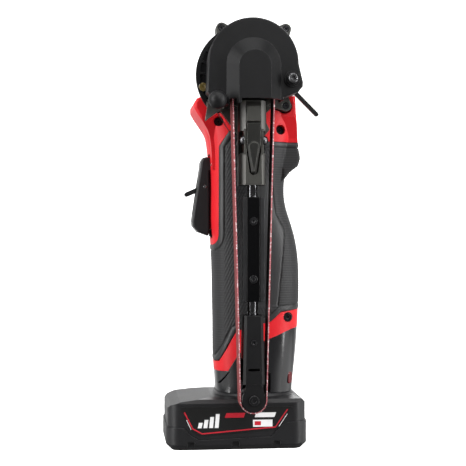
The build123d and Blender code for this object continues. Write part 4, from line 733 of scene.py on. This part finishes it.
def make_coil_spring(material):
    """The tension spring's own shape, riding on the arm body."""
    node = NODES["tension_spring"]
    vertices = [node.matrix_world @ v.co for v in node.data.vertices]
    faces = [tuple(p.vertices) for p in node.data.polygons]
    coil = new_piece("coil_spring", vertices, faces, "arm_body", material, "bearing_steel",
                     replaced=("tension_spring",))
    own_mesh(coil)


# the middle of the lens lies this far in from the collar's right-hand end
GAUGE_INSET = 6.2 * MM
GAUGE_Y, GAUGE_Z = -15.4 * MM, 41.5 * MM
GAUGE_SIDES = 24
# rings of the lens as half width, half height and distance out of the collar
GAUGE_RINGS = [(wide * MM, tall * MM, proud * MM) for wide, tall, proud in (
    (2.3, 3.6, -1.8), (2.3, 3.6, 0.15), (1.9, 3.2, 0.45),
)]


def squared(value):
    """Sine or cosine bent so that a circle becomes a square with round corners."""
    return math.copysign(abs(value) ** 0.5, value)


def make_gauge_window(material):
    """Small bevelled lens of the charge gauge, set in the palm side of the collar."""
    centre = Vector((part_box("battery_collar")[1][0] - GAUGE_INSET, GAUGE_Y, GAUGE_Z))
    facing = Vector((0.80, -0.60, 0.0))
    sideways = Vector((0.60, 0.80, 0.0))
    upward = Vector((0.0, 0.0, 1.0))
    vertices = []
    for half_wide, half_tall, proud in GAUGE_RINGS:
        for side in range(GAUGE_SIDES):
            turn = 2.0 * math.pi * side / GAUGE_SIDES
            across = half_wide * squared(math.cos(turn))
            up = half_tall * squared(math.sin(turn))
            vertices.append(centre + sideways * across + upward * up + facing * proud)
    faces = ring_faces(len(GAUGE_RINGS), GAUGE_SIDES)
    new_piece("gauge_window", vertices, faces, "tool_body", material, "dark_plastic", smooth=False)


# ------------------------------------------------------------------ stage, light and camera
def soft_box(name, size, energy, place, aim):
    """Rectangular area light that faces a point."""
    light = bpy.data.lights.new(name, "AREA")
    light.shape = "RECTANGLE"
    light.size, light.size_y = size
    light.energy = energy
    holder = bpy.data.objects.new(name, light)
    holder.location = place
    holder.rotation_euler = (Vector(aim) - Vector(place)).to_track_quat("-Z", "Y").to_euler()
    bpy.context.collection.objects.link(holder)


# the floor is low enough to leave room for the battery drawn fully out
FLOOR_DROP = 74 * MM
STAGE_RADIUS, STAGE_BEND, STAGE_HEIGHT = 1.6, 0.6, 2.4
STAGE_SIDES, BEND_STEPS = 96, 12
# the room passes from floor to wall between these distances behind the tool, in metres
WALL_STARTS, WALL_ENDS = 0.25, 0.9
FLOOR_SHADE, WALL_SHADE = (0.12, 0.12, 0.12), (0.50, 0.50, 0.50)
FLOOR_LIGHT, WALL_LIGHT = 0.02, 0.38
# the glowing patches of floor fade in and out between these distances beside the tool
GLOW_NEAR, GLOW_FAR = (0.22, 0.36), (0.90, 1.10)
# and fade out between these distances before and behind their middle
GLOW_DEPTH = (0.25, 0.50)
GLOW_MIDDLE_Y = -0.10
GLOW_STRENGTH, GLOW_LEFT_SHARE = 1.5, 0.6
PAPER_LIGHT = 0.80


def paper_material():
    """Pale even paper for the camera, and a darker room for reflections and bounced light.

    In that room the floor is dim, the wall behind the tool is bright, and so is a patch of
    floor on either side, which gives the glossy dark parts their highlights.
    """
    s = Surface("pale_paper")
    seen = s.add("ShaderNodeLightPath").outputs["Is Camera Ray"]
    place = s.add("ShaderNodeSeparateXYZ")
    s.link(s.place, place.inputs[0])
    behind = s.spread(place.outputs["Y"], 0.0, 1.0, WALL_STARTS, WALL_ENDS)
    beside = s.math("ABSOLUTE", place.outputs["X"], 0.0)
    level = s.math("ABSOLUTE", s.math("SUBTRACT", place.outputs["Y"], GLOW_MIDDLE_Y), 0.0)
    fade_in = s.spread(beside, 0.0, GLOW_STRENGTH, *GLOW_NEAR)
    glow = s.math("MULTIPLY", fade_in, s.spread(beside, 1.0, 0.0, *GLOW_FAR))
    glow = s.math("MULTIPLY", glow, s.spread(level, 1.0, 0.0, *GLOW_DEPTH))
    glow = s.math("MULTIPLY", glow, s.spread(place.outputs["X"], GLOW_LEFT_SHARE, 1.0, -0.1, 0.1))
    paper = s.mix(s.noise(4 * MM), (0.90, 0.90, 0.90), (0.93, 0.93, 0.93))
    s.set("Base Color", s.mix(seen, s.mix(behind, FLOOR_SHADE, WALL_SHADE), paper))
    s.set("Roughness", 0.9)
    s.set("Specular IOR Level", 0.1)
    s.set("Emission Color", (1.0, 1.0, 1.0))
    room = s.math("MAXIMUM", s.spread(behind, FLOOR_LIGHT, WALL_LIGHT), glow)
    unseen = s.math("MULTIPLY", room, s.spread(seen, 1.0, 0.0))
    s.set("Emission Strength", s.math("MAXIMUM", s.spread(seen, 0.0, PAPER_LIGHT), unseen))
    return s.material


def backdrop():
    """Pale round floor that curves up into a wall all round the tool."""
    flat = STAGE_RADIUS - STAGE_BEND
    profile = [(0.0, 0.0), (flat, 0.0)]
    for step in range(1, BEND_STEPS + 1):
        turn = math.pi / 2 * step / BEND_STEPS
        profile.append((flat + STAGE_BEND * math.sin(turn), STAGE_BEND * (1 - math.cos(turn))))
    profile.append((STAGE_RADIUS, STAGE_HEIGHT))
    vertices = []
    for reach, z in profile:
        for side in range(STAGE_SIDES):
            angle = 2 * math.pi * side / STAGE_SIDES
            vertices.append((reach * math.cos(angle), reach * math.sin(angle), z - FLOOR_DROP))
    mesh = bpy.data.meshes.new("backdrop")
    mesh.from_pydata(vertices, [], ring_faces(len(profile), STAGE_SIDES, capped=False))
    mesh.polygons.foreach_set("use_smooth", [True] * len(mesh.polygons))
    mesh.materials.append(paper_material())
    sheet = bpy.data.objects.new("backdrop", mesh)
    bpy.context.collection.objects.link(sheet)


WORLD_STRENGTH = 0.15
TOOL_MIDDLE = (0.0, 0.0, 0.14)
TOOL_FOOT = (0.0, 0.0, 0.06)
# name, width and height, watts, place, and the point it is aimed at
SOFT_BOXES = (
    ("top_softbox", (1.0, 0.8), 7.0, (0.0, -0.35, 1.15), TOOL_MIDDLE),
    ("left_softbox", (0.5, 1.2), 13.5, (-1.0, -0.40, 0.45), TOOL_MIDDLE),
    ("right_softbox", (0.5, 1.2), 10.5, (1.0, -0.45, 0.45), TOOL_MIDDLE),
    ("front_fill", (0.6, 0.6), 7.5, (0.5, -1.25, 0.95), TOOL_MIDDLE),
    ("right_strip", (0.05, 0.6), 2.6, (0.73, -0.53, 0.10), TOOL_FOOT),
    ("left_strip", (0.05, 0.6), 1.8, (-0.80, -0.45, 0.10), TOOL_FOOT),
    ("rear_fill", (0.8, 0.8), 10.0, (0.4, 1.0, 0.9), TOOL_MIDDLE),
)
CAMERA_DISTANCE = 0.700
CAMERA_TURN = math.radians(6.0)
CAMERA_HEIGHT = 0.1301
CAMERA_TARGET_X = -7.4 * MM
CAMERA_SENSOR, CAMERA_LENS = 36.0, 86.6


def light_and_camera():
    """Soft boxes round the tool, a faint even world, and the camera a little to the left."""
    scene = bpy.context.scene
    scene.view_settings.view_transform = "Standard"
    world = bpy.data.worlds.new("studio")
    scene.world = world
    world.use_nodes = True
    background = world.node_tree.nodes["Background"]
    background.inputs["Color"].default_value = (1.0, 1.0, 1.0, 1.0)
    background.inputs["Strength"].default_value = WORLD_STRENGTH
    for name, size, energy, place, aim in SOFT_BOXES:
        soft_box(name, size, energy, place, aim)
    camera = bpy.data.objects.new("camera", bpy.data.cameras.new("camera"))
    bpy.context.collection.objects.link(camera)
    x = CAMERA_TARGET_X - CAMERA_DISTANCE * math.sin(CAMERA_TURN)
    camera.location = (x, -CAMERA_DISTANCE * math.cos(CAMERA_TURN), CAMERA_HEIGHT)
    camera.rotation_euler = (math.pi / 2, 0.0, -CAMERA_TURN)
    camera.data.sensor_width = CAMERA_SENSOR
    camera.data.lens = CAMERA_LENS
    scene.camera = camera


# ------------------------------------------------------------------ build
MATERIALS = make_materials()
MATERIALS["gauge_lens"] = paint("gauge_lens", (0.12, 0.010, 0.014), 0.2)
MATERIALS["label_field"] = paint("label_field", (0.006, 0.006, 0.006))
MATERIALS["label_red"] = paint("label_red", (0.52, 0.015, 0.03))
MATERIALS["label_white"] = paint("label_white", (0.85, 0.85, 0.85))
dress_cad_nodes(MATERIALS)
for grip_side in ("front", "rear"):
    make_grip(grip_side, grip_material())
make_belt(belt_material())
for label_side in (-1, 1):
    make_label(label_side, MATERIALS)
make_coil_spring(MATERIALS["bearing_steel"])
make_spring_leg(MATERIALS["screw_steel"])
make_gauge_window(MATERIALS["gauge_lens"])
backdrop()
light_and_camera()
